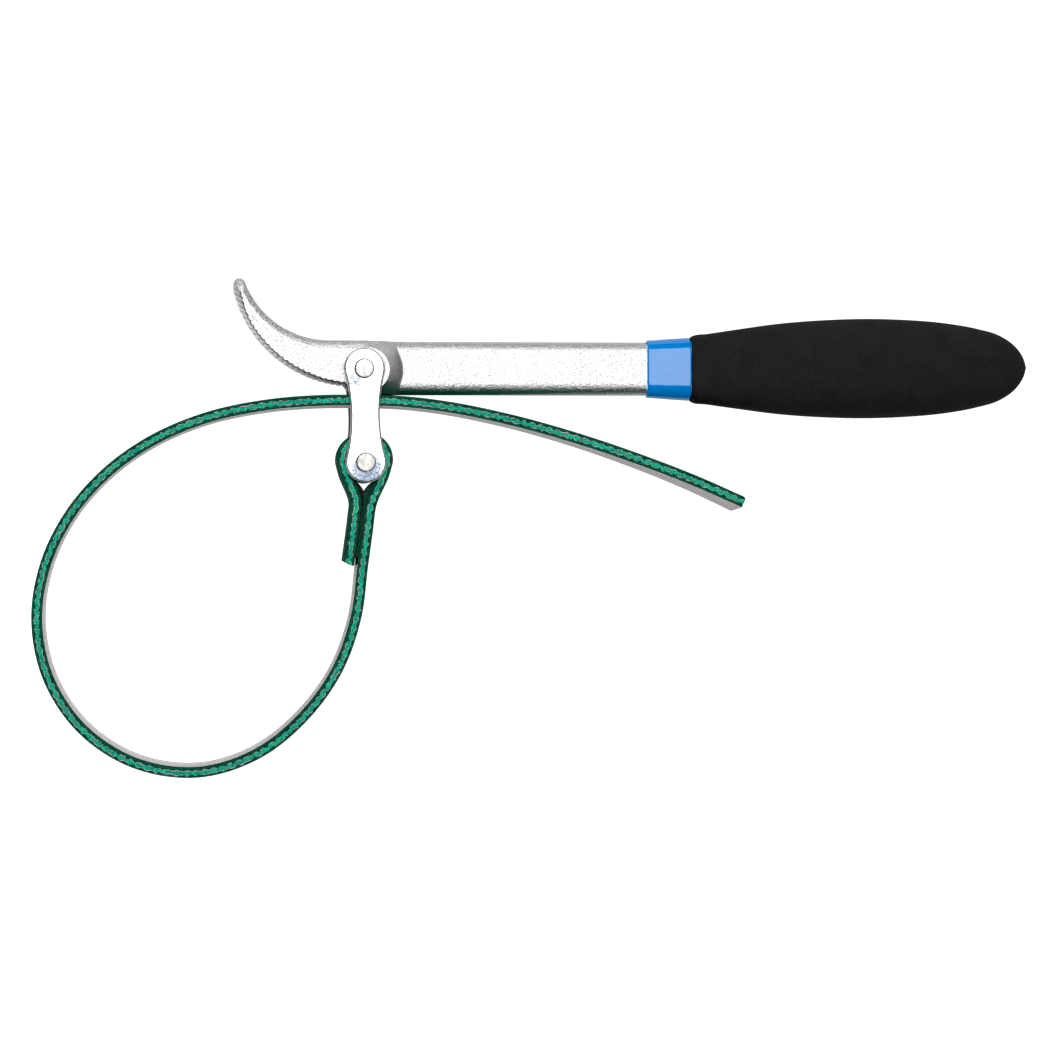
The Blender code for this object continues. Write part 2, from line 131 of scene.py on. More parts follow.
class Shader(Nodes):
    """A Principled material under construction, in the piece's own coordinates."""

    def __init__(self, name, colour, roughness, metallic=0.0, specular=0.5):
        self.material = bpy.data.materials.new(name)
        self.material.use_nodes = True
        super().__init__(self.material.node_tree)
        self.main = self.tree.nodes["Principled BSDF"]
        self.set("Base Color", (*colour, 1.0))
        self.set("Roughness", roughness)
        self.set("Metallic", metallic)
        self.set("Specular IOR Level", specular)
        self.place = self.node("ShaderNodeTexCoord").outputs["Object"]

    def set(self, socket, value):
        self.main.inputs[socket].default_value = value

    def scaled(self, stretch, source=None):
        """Coordinates stretched along X, Y and Z."""
        mapping = self.node("ShaderNodeMapping")
        mapping.inputs["Scale"].default_value = stretch
        self.link(source or self.place, mapping.inputs["Vector"])
        return mapping.outputs["Vector"]

    def noise(self, size, detail=2.0, roughness=0.5, distortion=0.0, source=None):
        """Noise from 0 to 1 with grains of about this size in metres."""
        made = self.node("ShaderNodeTexNoise")
        made.inputs["Scale"].default_value = 1.0 / size
        made.inputs["Detail"].default_value = detail
        made.inputs["Roughness"].default_value = roughness
        made.inputs["Distortion"].default_value = distortion
        self.link(source or self.place, made.inputs["Vector"])
        return made.outputs["Fac"]

    def cells(self, size, feature="F1"):
        """Distance from the middle of scattered cells of about this size in metres."""
        made = self.node("ShaderNodeTexVoronoi", feature=feature)
        made.inputs["Scale"].default_value = 1.0 / size
        self.link(self.place, made.inputs["Vector"])
        return made.outputs["Distance"]

    def ramp(self, source, stops):
        """A colour ramp; a stop is a place and a grey value or a colour."""
        made = self.node("ShaderNodeValToRGB")
        elements = made.color_ramp.elements
        while len(elements) < len(stops):
            elements.new(0.5)
        for element, (place, value) in zip(elements, stops):
            colour = value if isinstance(value, tuple) else (value, value, value)
            element.position = place
            element.color = (*colour, 1.0)
        self.link(source, made.inputs["Fac"])
        return made.outputs["Color"]

    def mix(self, amount, first, second, blend="MIX"):
        """Two colours mixed: the node's sockets 0, 6 and 7 are the ones that take colours."""
        made = self.node("ShaderNodeMix", data_type="RGBA", blend_type=blend)
        for index, value in ((0, amount), (6, first), (7, second)):
            self.feed(made.inputs[index], value)
        return made.outputs[2]

    def times(self, first, second):
        """Two colours multiplied."""
        return self.mix(1.0, first, second, "MULTIPLY")

    def along(self, name):
        """A number stored on the mesh's points."""
        made = self.node("ShaderNodeAttribute", attribute_name=name)
        return made.outputs["Fac"]

    def colour(self, source):
        self.link(source, self.main.inputs["Base Color"])

    def rough(self, source):
        self.link(source, self.main.inputs["Roughness"])

    def bump(self, *layers):
        """Height layers, each a source and its height in metres."""
        normal = None
        for source, height in layers:
            made = self.node("ShaderNodeBump")
            made.inputs["Strength"].default_value = 1.0
            made.inputs["Distance"].default_value = height
            self.link(source, made.inputs["Height"])
            if normal is not None:
                self.link(normal, made.inputs["Normal"])
            normal = made.outputs["Normal"]
        self.link(normal, self.main.inputs["Normal"])


def satin_chrome():
    """Plated forging: bright, over the sandy grain and small pits of the casting."""
    shader = Shader("satin_chrome", (0.76, 0.76, 0.76), 0.32, 1.0)
    sand = shader.noise(0.42 * MM, 2.0, 0.60)
    coarse = shader.noise(1.3 * MM, 2.0, 0.5)
    pits = shader.ramp(shader.cells(1.9 * MM), [(0.06, 0.0), (0.20, 1.0)])
    swell = shader.noise(4.0 * MM, 2.0)
    tone = shader.ramp(swell, [(0.25, (0.71, 0.71, 0.715)), (0.7, (0.79, 0.79, 0.785))])
    pitted = shader.times(tone, shader.ramp(pits, [(0.0, 0.62), (1.0, 1.0)]))
    grained = shader.times(pitted, shader.ramp(sand, [(0.32, 0.66), (0.54, 1.12)]))
    # painted shade on the nose: dark under the pivot, between the teeth and in a line below the face
    painted_shade = shader.ramp(shader.along("painted_shade"), [(0.0, 1.0), (0.5, 0.22), (1.0, 0.05)])
    shader.colour(shader.times(grained, painted_shade))
    shader.rough(shader.ramp(sand, [(0.30, 0.275), (0.75, 0.31)]))
    shader.bump((sand, 0.27 * MM), (coarse, 0.12 * MM), (pits, 0.05 * MM))
    return shader.material


def stain_cover(shader, stains):
    """How thick the plates' stains lie: each is a centre, a reach and a strength."""
    cover = 0.0
    for centre, reach, strength in stains:
        gap = shader.node("ShaderNodeVectorMath", operation="DISTANCE")
        shader.link(shader.place, gap.inputs[0])
        gap.inputs[1].default_value = centre
        near = shader.math("SUBTRACT", 1.0, shader.math("DIVIDE", gap.outputs["Value"], reach), clamp=True)
        cover = shader.math("MAXIMUM", cover, shader.math("MULTIPLY", near, strength))
    return cover


def zinc_plate(stains):
    """Bright zinc with a bluish, mottled tint round the rivets, on the faces that look up.

    The up-facing faces between the plates, below the stack's middle, get a painted dark green shade and
    reflection of the belt.
    """
    shader = Shader("zinc_plate", (0.86, 0.88, 0.91), 0.30, 1.0)
    fine = shader.noise(0.45 * MM, 3.0, 0.6)
    broad = shader.noise(5.0 * MM, 2.0)
    mottle = shader.noise(0.55 * MM, 3.0, 0.7, 0.4)
    upwards = shader.parts(shader.node("ShaderNodeNewGeometry").outputs["Normal"])["Z"]
    is_face = shader.ramp(upwards, [(0.90, 0.0), (0.985, 1.0)])
    cover = shader.math("MULTIPLY", stain_cover(shader, stains), is_face)
    clean = shader.ramp(broad, [(0.3, (0.82, 0.85, 0.89)), (0.7, (0.89, 0.90, 0.92))])
    halo = shader.ramp(cover, [(0.0, 0.0), (0.42, 1.0)])
    tinted = shader.mix(halo, clean, (0.33, 0.36, 0.40))
    spots = shader.math("ADD", mottle, shader.math("MULTIPLY", cover, 0.14))
    stain = shader.math("MULTIPLY", shader.ramp(spots, [(0.50, 0.0), (0.62, 1.0)]),
                        shader.ramp(cover, [(0.04, 0.0), (0.22, 1.0)]))
    blue = shader.ramp(cover, [(0.22, (0.225, 0.245, 0.285)), (0.30, (0.120, 0.152, 0.225))])
    stained = shader.mix(stain, tinted, blue)
    height = shader.parts(shader.place)["Z"]
    below_middle = shader.math("DIVIDE", shader.math("SUBTRACT", MID_HEIGHT, height), MID_HEIGHT)
    # painted shade and green reflection of the belt on the faces between the plates
    belt_shade = shader.ramp(shader.math("MULTIPLY", below_middle, upwards), [(0.35, 0.0), (0.70, 0.92)])
    shader.colour(shader.mix(belt_shade, stained, (0.020, 0.045, 0.036)))
    shader.rough(shader.mix(stain, shader.ramp(fine, [(0.3, 0.28), (0.7, 0.32)]), (0.45, 0.45, 0.45)))
    shader.bump((fine, 0.010 * MM), (broad, 0.05 * MM))
    return shader.material


def rivet_steel(name, tone):
    """Bare rivet ends with a few scratches."""
    shader = Shader(name, tone, 0.50, 1.0)
    streak = shader.noise(0.35 * MM, 2.0, 0.5, source=shader.scaled((1.0, 0.12, 1.0)))
    fine = shader.noise(0.5 * MM, 3.0)
    nicks = shader.ramp(streak, [(0.56, 1.0), (0.63, 0.0)])
    worn = tuple(0.78 * value for value in tone)
    shader.colour(shader.mix(nicks, worn, tone))
    shader.rough(shader.ramp(fine, [(0.3, 0.44), (0.7, 0.56)]))
    shader.bump((nicks, 0.030 * MM), (fine, 0.050 * MM))
    return shader.material


def blue_plastic():
    """Smooth glossy blue plastic."""
    shader = Shader("blue_plastic", (0.0, 0.205, 0.60), 0.10)
    shader.set("IOR", 1.72)
    swirl = shader.noise(3.0 * MM, 2.0)
    fine = shader.noise(0.4 * MM, 2.0)
    shader.colour(shader.ramp(swirl, [(0.3, (0.0, 0.225, 0.670)), (0.7, (0.0, 0.255, 0.740))]))
    shader.rough(shader.ramp(fine, [(0.3, 0.08), (0.7, 0.14)]))
    shader.bump((fine, 0.004 * MM), (swirl, 0.030 * MM))
    return shader.material


def black_rubber():
    """Soft moulded rubber with a fine matte grain."""
    shader = Shader("black_rubber", (0.011, 0.011, 0.011), 0.85, specular=0.10)
    grain = shader.noise(0.42 * MM, 4.0, 0.7)
    pores = shader.cells(0.60 * MM, "SMOOTH_F1")
    clouds = shader.noise(9.0 * MM, 3.0)
    tint = shader.ramp(grain, [(0.32, (0.0150, 0.0151, 0.0150)), (0.68, (0.0300, 0.0300, 0.0294))])
    shade = shader.ramp(clouds, [(0.3, 0.82), (0.7, 1.0)])
    shader.colour(shader.times(tint, shade))
    shader.rough(shader.ramp(grain, [(0.3, 0.95), (0.7, 0.74)]))
    shader.bump((grain, 0.16 * MM), (pores, 0.10 * MM))
    return shader.material


def belt_cover():
    """Dark green rubber: its cut edge carries painted shade along both its borders, its broad face is finely
    woven.
    """
    shader = Shader("green_cover", (0.004, 0.050, 0.028), 0.80, specular=0.06)
    across = shader.along("across")
    grain = shader.noise(0.35 * MM, 3.0, 0.65)
    patches = shader.noise(2.6 * MM, 3.0, 0.6)
    clouds = shader.noise(12.0 * MM, 3.0, 0.6)
    # painted shade: the cut edge darkens to near black at both its borders
    body = shader.ramp(across, [(0.0, (0.004, 0.012, 0.009)), (0.22, (0.007, 0.085, 0.050)),
                                (0.70, (0.008, 0.110, 0.062)), (1.0, (0.003, 0.008, 0.006))])
    tone = shader.ramp(patches, [(0.30, (0.45, 0.55, 0.55)), (0.70, (1.35, 1.25, 1.2))])
    cut_edge = shader.times(body, tone)
    skin = shader.ramp(clouds, [(0.3, (0.006, 0.070, 0.044)), (0.7, (0.010, 0.105, 0.066))])
    upwards = shader.parts(shader.node("ShaderNodeNewGeometry").outputs["True Normal"])["Z"]
    is_edge = shader.math("GREATER_THAN", shader.math("ABSOLUTE", upwards), 0.5)
    specks = shader.ramp(grain, [(0.30, 0.55), (0.60, 1.15)])
    shader.colour(shader.times(shader.mix(is_edge, skin, cut_edge), specks))
    shader.rough(shader.ramp(grain, [(0.3, 0.90), (0.7, 0.62)]))
    turn = 2 * math.pi / (1.1 * MM)
    warp = shader.math("SINE", shader.math("MULTIPLY", shader.along("run"), turn))
    weft = shader.math("SINE", shader.math("MULTIPLY", shader.parts(shader.place)["Z"], turn))
    weave = shader.math("MULTIPLY", warp, weft)
    only_broad = shader.math("MULTIPLY", weave, shader.math("SUBTRACT", 1.0, is_edge))
    shader.bump((grain, 0.08 * MM), (only_broad, 0.07 * MM))
    return shader.material


def belt_core():
    """Bright teal tension layer, blotched and speckled along its cut edge."""
    shader = Shader("teal_core", (0.010, 0.34, 0.22), 0.60, specular=0.08)
    grain = shader.noise(0.55 * MM, 3.0, 0.65)
    patches = shader.noise(2.2 * MM, 3.0, 0.6)
    tone = shader.ramp(patches, [(0.30, (0.006, 0.290, 0.240)), (0.5, (0.014, 0.450, 0.290)),
                                 (0.70, (0.012, 0.600, 0.370))])
    specks = shader.ramp(grain, [(0.38, 0.30), (0.54, 1.08)])
    shader.colour(shader.times(tone, specks))
    shader.rough(shader.ramp(grain, [(0.3, 0.75), (0.7, 0.55)]))
    shader.bump((grain, 0.04 * MM))
    return shader.material


def belt_ply():
    """The cut edge of a woven ply: pale yarn with darker, broken stretches."""
    shader = Shader("ply_yarn", (0.42, 0.36, 0.31), 0.75, specular=0.2)
    strands = shader.noise(0.50 * MM, 3.0, 0.7)
    breaks = shader.noise(1.5 * MM, 3.0, 0.7)
    hue = shader.noise(2.9 * MM, 2.0)
    yarn = shader.ramp(hue, [(0.3, (0.40, 0.42, 0.35)), (0.5, (0.52, 0.45, 0.39)),
                             (0.7, (0.62, 0.52, 0.46))])
    dark = shader.ramp(breaks, [(0.42, (0.04, 0.10, 0.07)), (0.54, (1.0, 1.0, 1.0))])
    toned = shader.times(yarn, dark)
    fuzz = shader.ramp(strands, [(0.36, 0.30), (0.60, 1.25)])
    shader.colour(shader.times(toned, fuzz))
    shader.rough(shader.ramp(strands, [(0.3, 0.88), (0.7, 0.66)]))
    shader.bump((strands, 0.06 * MM))
    return shader.material


def belt_facing(glued_from):
    """Grey gripping face: rubberised fabric with fine ribs across the belt, dark green where glued."""
    shader = Shader("grey_facing", (0.40, 0.39, 0.39), 0.70, specular=0.25)
    run = shader.along("run")
    ribs = shader.math("SINE", shader.math("MULTIPLY", run, 2 * math.pi / (0.95 * MM)))
    height = shader.math("ADD", shader.math("MULTIPLY", ribs, 0.5), 0.5)
    grain = shader.noise(0.40 * MM, 3.0, 0.65)
    patches = shader.noise(6.0 * MM, 3.0)
    tone = shader.ramp(patches, [(0.3, (0.68, 0.635, 0.63)), (0.7, (0.80, 0.76, 0.755))])
    shade = shader.ramp(height, [(0.0, 0.72), (1.0, 1.0)])
    specks = shader.ramp(grain, [(0.3, 0.75), (0.6, 1.0)])
    fabric = shader.times(shader.times(tone, shade), specks)
    glued = shader.math("GREATER_THAN", run, glued_from)
    shader.colour(shader.mix(glued, fabric, (0.004, 0.034, 0.022)))
    shader.rough(shader.ramp(grain, [(0.3, 0.82), (0.7, 0.60)]))
    shader.bump((height, 0.05 * MM), (grain, 0.04 * MM))
    return shader.material


def black_adhesive():
    """Near-black adhesive, stained green by the rubber, with painted shade in the crease along the short
    leg.
    """
    shader = Shader("black_adhesive", (0.003, 0.022, 0.015), 0.55, specular=0.2)
    lumps = shader.noise(0.8 * MM, 3.0)
    tone = shader.ramp(lumps, [(0.3, (0.003, 0.020, 0.014)), (0.7, (0.006, 0.052, 0.032))])
    # painted shade, darker towards the short leg
    crease_shade = shader.ramp(shader.along("across"), [(0.52, (1.0, 1.0, 1.0)), (0.70, (0.20, 0.10, 0.12))])
    shader.colour(shader.times(tone, crease_shade))
    shader.rough(shader.ramp(lumps, [(0.3, 0.75), (0.7, 0.60)]))
    shader.bump((lumps, 0.06 * MM))
    return shader.material


def spacer_steel():
    """Drawn tube, with fine lines along its length."""
    shader = Shader("spacer_steel", (0.60, 0.60, 0.61), 0.34, 1.0)
    drawn = shader.noise(0.25 * MM, 2.0, source=shader.scaled((1.0, 1.0, 0.06)))
    shader.colour(shader.ramp(drawn, [(0.3, (0.50, 0.50, 0.51)), (0.7, (0.66, 0.66, 0.67))]))
    shader.rough(shader.ramp(drawn, [(0.3, 0.42), (0.7, 0.28)]))
    shader.bump((drawn, 0.012 * MM))
    return shader.material


# ---------------------------------------------------------------- mesh helpers

def mesh_object(name, points, faces, material, sharp=35.0):
    """An object of these faces, pointing outwards; edges over the sharp angle stay sharp."""
    mesh = bpy.data.meshes.new(name)
    mesh.from_pydata([tuple(p) for p in points], [], faces)
    mesh.validate()
    shape = bmesh.new()
    shape.from_mesh(mesh)
    bmesh.ops.recalc_face_normals(shape, faces=shape.faces)
    shape.to_mesh(mesh)
    shape.free()
    obj = bpy.data.objects.new(name, mesh)
    bpy.context.scene.collection.objects.link(obj)
    if material is not None:
        mesh.materials.append(material)
    shade(obj, sharp)
    return obj


def shade(obj, sharp):
    obj.data.shade_smooth()
    obj.data.set_sharp_from_angle(angle=math.radians(sharp))


def loft(name, sections, material, sharp=35.0, ring=False):
    """A closed solid through a row of equal loops; a ring joins its last loop to its first."""
    size = len(sections[0])
    points = [p for section in sections for p in section]
    faces = []
    pairs = len(sections) if ring else len(sections) - 1
    for row in range(pairs):
        near = row * size
        far = ((row + 1) % len(sections)) * size
        for i in range(size):
            j = (i + 1) % size
            faces.append((near + i, near + j, far + j, far + i))
    if not ring:
        faces.append(tuple(range(size - 1, -1, -1)))
        faces.append(tuple(range(len(points) - size, len(points))))
    return mesh_object(name, points, faces, material, sharp)


def combine(obj, other, operation):
    """Join, cut or keep with a helper solid, which is then gone."""
    modifier = obj.modifiers.new("combine", "BOOLEAN")
    modifier.operation = operation
    modifier.solver = "EXACT"
    modifier.object = other
    bpy.context.view_layer.update()
    graph = bpy.context.evaluated_depsgraph_get()
    made = bpy.data.meshes.new_from_object(obj.evaluated_get(graph))
    obj.modifiers.clear()
    obj.data = made
    bpy.data.objects.remove(other, do_unlink=True)


def even_normals(obj):
    """Flat faces keep a flat shade where they meet a rounding."""
    modifier = obj.modifiers.new("even", "WEIGHTED_NORMAL")
    modifier.keep_sharp = True
    modifier.weight = 100


def store(obj, name, values):
    """Store a number on each of the mesh's points."""
    attribute = obj.data.attributes.new(name, "FLOAT", "POINT")
    attribute.data.foreach_set("value", np.array(values[:len(attribute.data)], np.float32))


def finish_piece(obj, body, slot, *nodes):
    """Say which nodes a piece stands for and which body it rides on; the slot is not used."""
    if nodes:
        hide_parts(*nodes)
    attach(obj, body)


def polar(centre, radius, angle):
    return (centre[0] + radius * math.cos(angle), centre[1] + radius * math.sin(angle))


def circle(centre, radius, count):
    return [polar(centre, radius, 2 * math.pi * i / count) for i in range(count)]


def arc(centre, radius, start, end, count):
    """Points along an arc, both ends included."""
    return [polar(centre, radius, start + (end - start) * i / (count - 1)) for i in range(count)]


def quarter_round(radius, steps=6):
    """Pairs round a quarter circle, from (radius, 0) to (0, radius)."""
    turns = [math.pi / 2 * i / steps for i in range(steps + 1)]
    return [(radius * (1 - math.sin(turn)), radius * (1 - math.cos(turn))) for turn in turns]


def stacked(outline, height):
    """A flat outline at a height."""
    return [(x, y, height) for x, y in outline]


# ---------------------------------------------------------------- link plates and rivets

PLATE_END_RADIUS = 0.0076
PLATE_WAIST = 0.0054
PLATE_ROUNDING = 0.00090
HOLE_CLEARANCE = 0.00019
HOLE_LEAD = 0.00018
HOLE_SHIFT = (-0.00010, -0.00009)
RIVET_SLACK = 0.00004
RIVET_EDGE = 0.00022
RIVET_CROWN = 0.00006


def plate_outline(inset):
    """Two round ends joined by hollow flanks, moved inwards by an inset."""
    end = PLATE_END_RADIUS - inset
    waist = PLATE_WAIST - inset
    half = RIVET_SPACING / 2
    flank = (half ** 2 + waist ** 2 - end ** 2) / (2 * (end - waist))
    touch = math.atan2(half, flank + waist)
    points = arc((0, 0), end, -touch, math.pi + touch, 65)
    points += arc((-flank - waist, -half), flank, touch, -touch, 33)[1:-1]
    points += arc((0, -RIVET_SPACING), end, math.pi - touch, 2 * math.pi + touch, 65)
    points += arc((flank + waist, -half), flank, math.pi + touch, math.pi - touch, 33)[1:-1]
    return points


def in_links(points):
    """From the links' own frame, with the pivot at the origin, to the tool's frame."""
    cosine = math.cos(LINK_TILT)
    sine = math.sin(LINK_TILT)
    return [(PIVOT.x + x * cosine - y * sine, PIVOT.y + x * sine + y * cosine, z) for x, y, z in points]


def hole_cutter(low, drop):
    """A waisted cutter, so that the hole has a slight lead-in at both faces."""
    top = low + PLATE_THICKNESS
    radius = RIVET_RADIUS + HOLE_CLEARANCE
    wide = radius + HOLE_LEAD + CUTTER_MARGIN
    spans = [(low - CUTTER_MARGIN, wide), (low + HOLE_LEAD, radius),
             (top - HOLE_LEAD, radius), (top + CUTTER_MARGIN, wide)]
    centre = (HOLE_SHIFT[0], HOLE_SHIFT[1] - drop)
    return loft("hole", [in_links(stacked(circle(centre, r, ROUND_SIDES), z)) for z, r in spans], None)


def make_plate(name, low, material):
    """A blanked plate with a rounded outer edge and two holes."""
    levels = quarter_round(PLATE_ROUNDING)
    sections = [in_links(stacked(plate_outline(inset), low + rise)) for inset, rise in levels]
    sections += [in_links(stacked(plate_outline(inset), low + PLATE_THICKNESS - rise))
                 for inset, rise in reversed(levels)]
    plate = loft(name, sections, material)
    for drop in (0.0, RIVET_SPACING):
        combine(plate, hole_cutter(low, drop), "DIFFERENCE")
    shade(plate, 40)
    even_normals(plate)
    return plate


def make_rivet(name, drop, material):
    """A plain rivet whose flush ends are very slightly crowned."""
    radius = RIVET_RADIUS - RIVET_SLACK
    edge = RIVET_EDGE
    crown = RIVET_CROWN
    profile = [(0.0, radius * 0.05), (crown * 0.15, radius * 0.35), (crown * 0.5, radius * 0.7),
               (crown, radius - edge), (crown + edge * 0.3, radius - edge * 0.3), (crown + edge, radius)]
    levels = profile + [(STACK_HEIGHT - z, r) for z, r in reversed(profile)]
    sections = [in_links(stacked(circle((0, -drop), r, ROUND_SIDES), z)) for z, r in levels]
    return loft(name, sections, material)


def make_spacer(material):
    """The tube that keeps the plates apart, broken at its four edges."""
    low, high = (corner.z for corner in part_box("spacer_tube"))
    outer = (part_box("spacer_tube")[1].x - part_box("spacer_tube")[0].x) / 2
    inner = RIVET_RADIUS + FIT_GAP
    edge = 0.0003
    profile = [(inner, low + edge), (inner + edge, low), (outer - edge, low), (outer, low + edge),
               (outer, high - edge), (outer - edge, high), (inner + edge, high), (inner, high - edge)]
    centre = (BELT_PIN.x, BELT_PIN.y)
    sections = [stacked(circle(centre, r, ROUND_SIDES), z) for r, z in profile]
    return loft("spacer_bush", sections, material, ring=True)


# ---------------------------------------------------------------- lever

# The nose in plan: the toothed jaw and the back are arcs, and its face has a sharper tip
JAW_CENTRE = (-0.0029, 0.0412)
JAW_RADIUS = 0.0473
BACK_CENTRE = (-0.0130, 0.0440)
BACK_RADIUS = 0.0334
TIP_CENTRE = (-0.0464, 0.0312)
FACE_TIP_CENTRE = (-0.0454, 0.0282)
FACE_TIP_TAPER = 0.0013
TAPER_START = 0.7
UNDERSIDE_RADIUS = 0.0094
ARC_POINTS = 25
BACK_STEPS = 80

# Its teeth, which are shallower at the face than half way up
TOOTH_COUNT = 24
TOOTH_POINTS = 10
TOOTH_HEIGHT = 0.0008
TOOTH_FADE = 0.45

# Its depth: rounded along the back, drafted and then chamfered along the jaw
NOSE_HALF = HEAD_HALF - 0.0001
NOSE_ROUNDING_DEPTH = 0.0030
NOSE_ROUNDING_AT_TIP = 0.0023
NOSE_ROUNDING_AT_BOSS = 0.0036
NOSE_ROUNDING_SWEEP = math.radians(46)
NOSE_ROUNDING_STEPS = 12
JAW_DRAFT = 0.00025
JAW_DRAFT_GROWTH = 0.00075
JAW_EDGE = 0.00055
JAW_EDGE_START = 0.9

# Painted shade: how dark the nose is painted under the pivot, between its teeth, and in a line just below
# its face
HEEL_SHADE = 1.0
GROOVE_SHADE = 0.40
LINE_SHADE = 0.55
LINE_RISE = 0.93
LINE_REACH = 0.16

# The pivot boss, and the hollow slope from it down to the shank
BOSS_CENTRE = (0.0014, -0.0003)
BOSS_RADIUS = 0.0083
BOSS_EDGE = 0.0004
BOSS_SIDES = 144
SLOPE_WIDTH = 0.0048
SLOPE_REACH = 1.45
SLOPE_HOLLOW = 0.0003
SLOPE_BLEND = 0.0014
SLOPE_START = BOSS_RADIUS - 0.0001
SLOPE_SINK = 0.00002
SLOPE_STEPS = 24
SLOPE_SIDES = 180
SLOPE_ENDS = (0.0003, 0.0200)

# The shank and the tang: half height, half thickness and corner radius
SHANK_HALF_HEIGHT = 0.0101
SHANK_HALF_THICKNESS = 0.0050
SHANK_CORNER = 0.0048
TANG = (0.0095, 0.0043, 0.0020)
TANG_LENGTH = 0.020


def crossing(centre_a, radius_a, centre_b, radius_b):
    """Where two circles cross, on the left of the way from the first centre to the second."""
    first = Vector(centre_a)
    line = Vector(centre_b) - first
    apart = line.length
    along = (radius_a ** 2 - radius_b ** 2 + apart ** 2) / (2 * apart)
    aside = math.sqrt(radius_a ** 2 - along ** 2)
    forward = line / apart
    return first + forward * along + Vector((-forward.y, forward.x)) * aside


def direction(start, end):
    """The angle of the way from one point to another, from 0 to a whole turn."""
    return math.atan2(end[1] - start[1], end[0] - start[0]) % (2 * math.pi)


def jaw_row(radius, tooth, ends, share):
    """The teeth in plan, and the painted shade at each point: in the grooves and along the face."""
    first, last = ends
    below_face = min(1.0, (1 - share) / (1 - LINE_RISE))
    line = LINE_SHADE * below_face * max(0.0, 1 - abs(share - LINE_RISE) / LINE_REACH)
    points = []
    painted_shade = []
    for i in range(TOOTH_POINTS * TOOTH_COUNT + 1):
        across = 2 * ((i / TOOTH_POINTS) % 1.0) - 1
        way = i / (TOOTH_POINTS * TOOTH_COUNT)
        taper = FACE_TIP_TAPER * max(0.0, (way - TAPER_START) / (1 - TAPER_START)) ** 2
        taper = share * (taper + JAW_DRAFT_GROWTH * way)
        reach = radius - tooth * (1 - math.sqrt(1 - across ** 2)) - taper
        points.append(polar(JAW_CENTRE, reach, first + (last - first) * way))
        groove = GROOVE_SHADE * below_face * max(0.0, 2 * abs(across) - 1) ** 1.5
        painted_shade.append(max(groove, line * (1 - 0.5 * way)))
    return points, painted_shade


def nose_outline(jaw_inset, back_inset, back_growth, share):
    """The nose in plan: round under the pivot, along the teeth, round the tip and back.

    The share is 0 at the nose's widest level and 1 at its face.  With the points comes
    the painted shade of the forging at each of them.
    """
    jaw = JAW_RADIUS - jaw_inset
    back = BACK_RADIUS + back_inset
    under = UNDERSIDE_RADIUS - jaw_inset
    pivot = (PIVOT.x, PIVOT.y)
    tooth = TOOTH_HEIGHT * (1 - TOOTH_FADE * share)
    heel = crossing(pivot, under, JAW_CENTRE, jaw - tooth)
    tip = Vector(TIP_CENTRE).lerp(Vector(FACE_TIP_CENTRE), share)
    tip_radius = (tip - Vector(BACK_CENTRE)).length - back
    bottom = 1.5 * math.pi
    points = [(BOSS_CENTRE[0], -under)]
    points += arc(pivot, under, bottom, direction(pivot, heel), ARC_POINTS)[:-1]
    painted_shade = [HEEL_SHADE * min(1.0, (1 - share) / (1 - LINE_RISE))] * len(points)
    ends = (direction(JAW_CENTRE, heel), direction(JAW_CENTRE, tip))
    teeth, dark = jaw_row(jaw, tooth, ends, share)
    points += teeth
    painted_shade += dark
    back_start = direction(BACK_CENTRE, tip)
    points += arc(tip, tip_radius, ends[1], back_start - math.pi, ARC_POINTS)[1:-1]
    for i in range(BACK_STEPS + 1):
        way = i / BACK_STEPS
        points.append(polar(BACK_CENTRE, back + back_growth * way, back_start + (bottom - back_start) * way))
    points.append((BOSS_CENTRE[0], points[-1][1]))
    painted_shade += [0.0] * (len(points) - len(painted_shade))
    return points, painted_shade


def nose_levels():
    """The rounding's levels: the share of its depth, and the share of its inset."""
    sweep = NOSE_ROUNDING_SWEEP
    angles = [sweep * i / NOSE_ROUNDING_STEPS for i in range(NOSE_ROUNDING_STEPS + 1)]
    return [(math.sin(angle) / math.sin(sweep), (1 - math.cos(angle)) / (1 - math.cos(sweep)))
            for angle in angles]


def nose_solid(material):
    """The nose at full depth, rounded along its back and chamfered at the ends of its teeth."""
    growth = NOSE_ROUNDING_AT_BOSS - NOSE_ROUNDING_AT_TIP
    levels = nose_levels()
    sections = []
    painted_shade = []
    for sign, order in ((-1, reversed(levels)), (1, levels)):
        for rise, inset in order:
            height = NOSE_HALF - NOSE_ROUNDING_DEPTH * (1 - rise)
            chamfer = JAW_EDGE * max(0.0, (rise - JAW_EDGE_START) / (1 - JAW_EDGE_START))
            outline, dark = nose_outline(JAW_DRAFT * rise + chamfer, NOSE_ROUNDING_AT_TIP * inset,
                                         growth * inset, rise)
            sections.append(stacked(outline, MID_HEIGHT + sign * height))
            painted_shade += dark
    nose = loft("lever_forging", sections, material)
    store(nose, "painted_shade", painted_shade)
    return nose


def bar_section(x, half_y, half_z, corner, steps=14):
    """A section across the lever at x, with round corners."""
    points = []
    for turn, (side_y, side_z) in enumerate(((1, 1), (-1, 1), (-1, -1), (1, -1))):
        centre = (side_y * (half_y - corner), side_z * (half_z - corner))
        start = turn * math.pi / 2
        for y, z in arc(centre, corner, start, start + math.pi / 2, steps):
            points.append((x, AXIS_Y + y, MID_HEIGHT + z))
    return points


def bar_height(y):
    """Half the shank's thickness at a distance y from its axis, falling at its round corners."""
    into = max(0.0, abs(y) - (SHANK_HALF_HEIGHT - SHANK_CORNER))
    rounding = math.sqrt(max(0.0, SHANK_CORNER ** 2 - into ** 2))
    return max(0.0002, SHANK_HALF_THICKNESS - SHANK_CORNER + rounding)


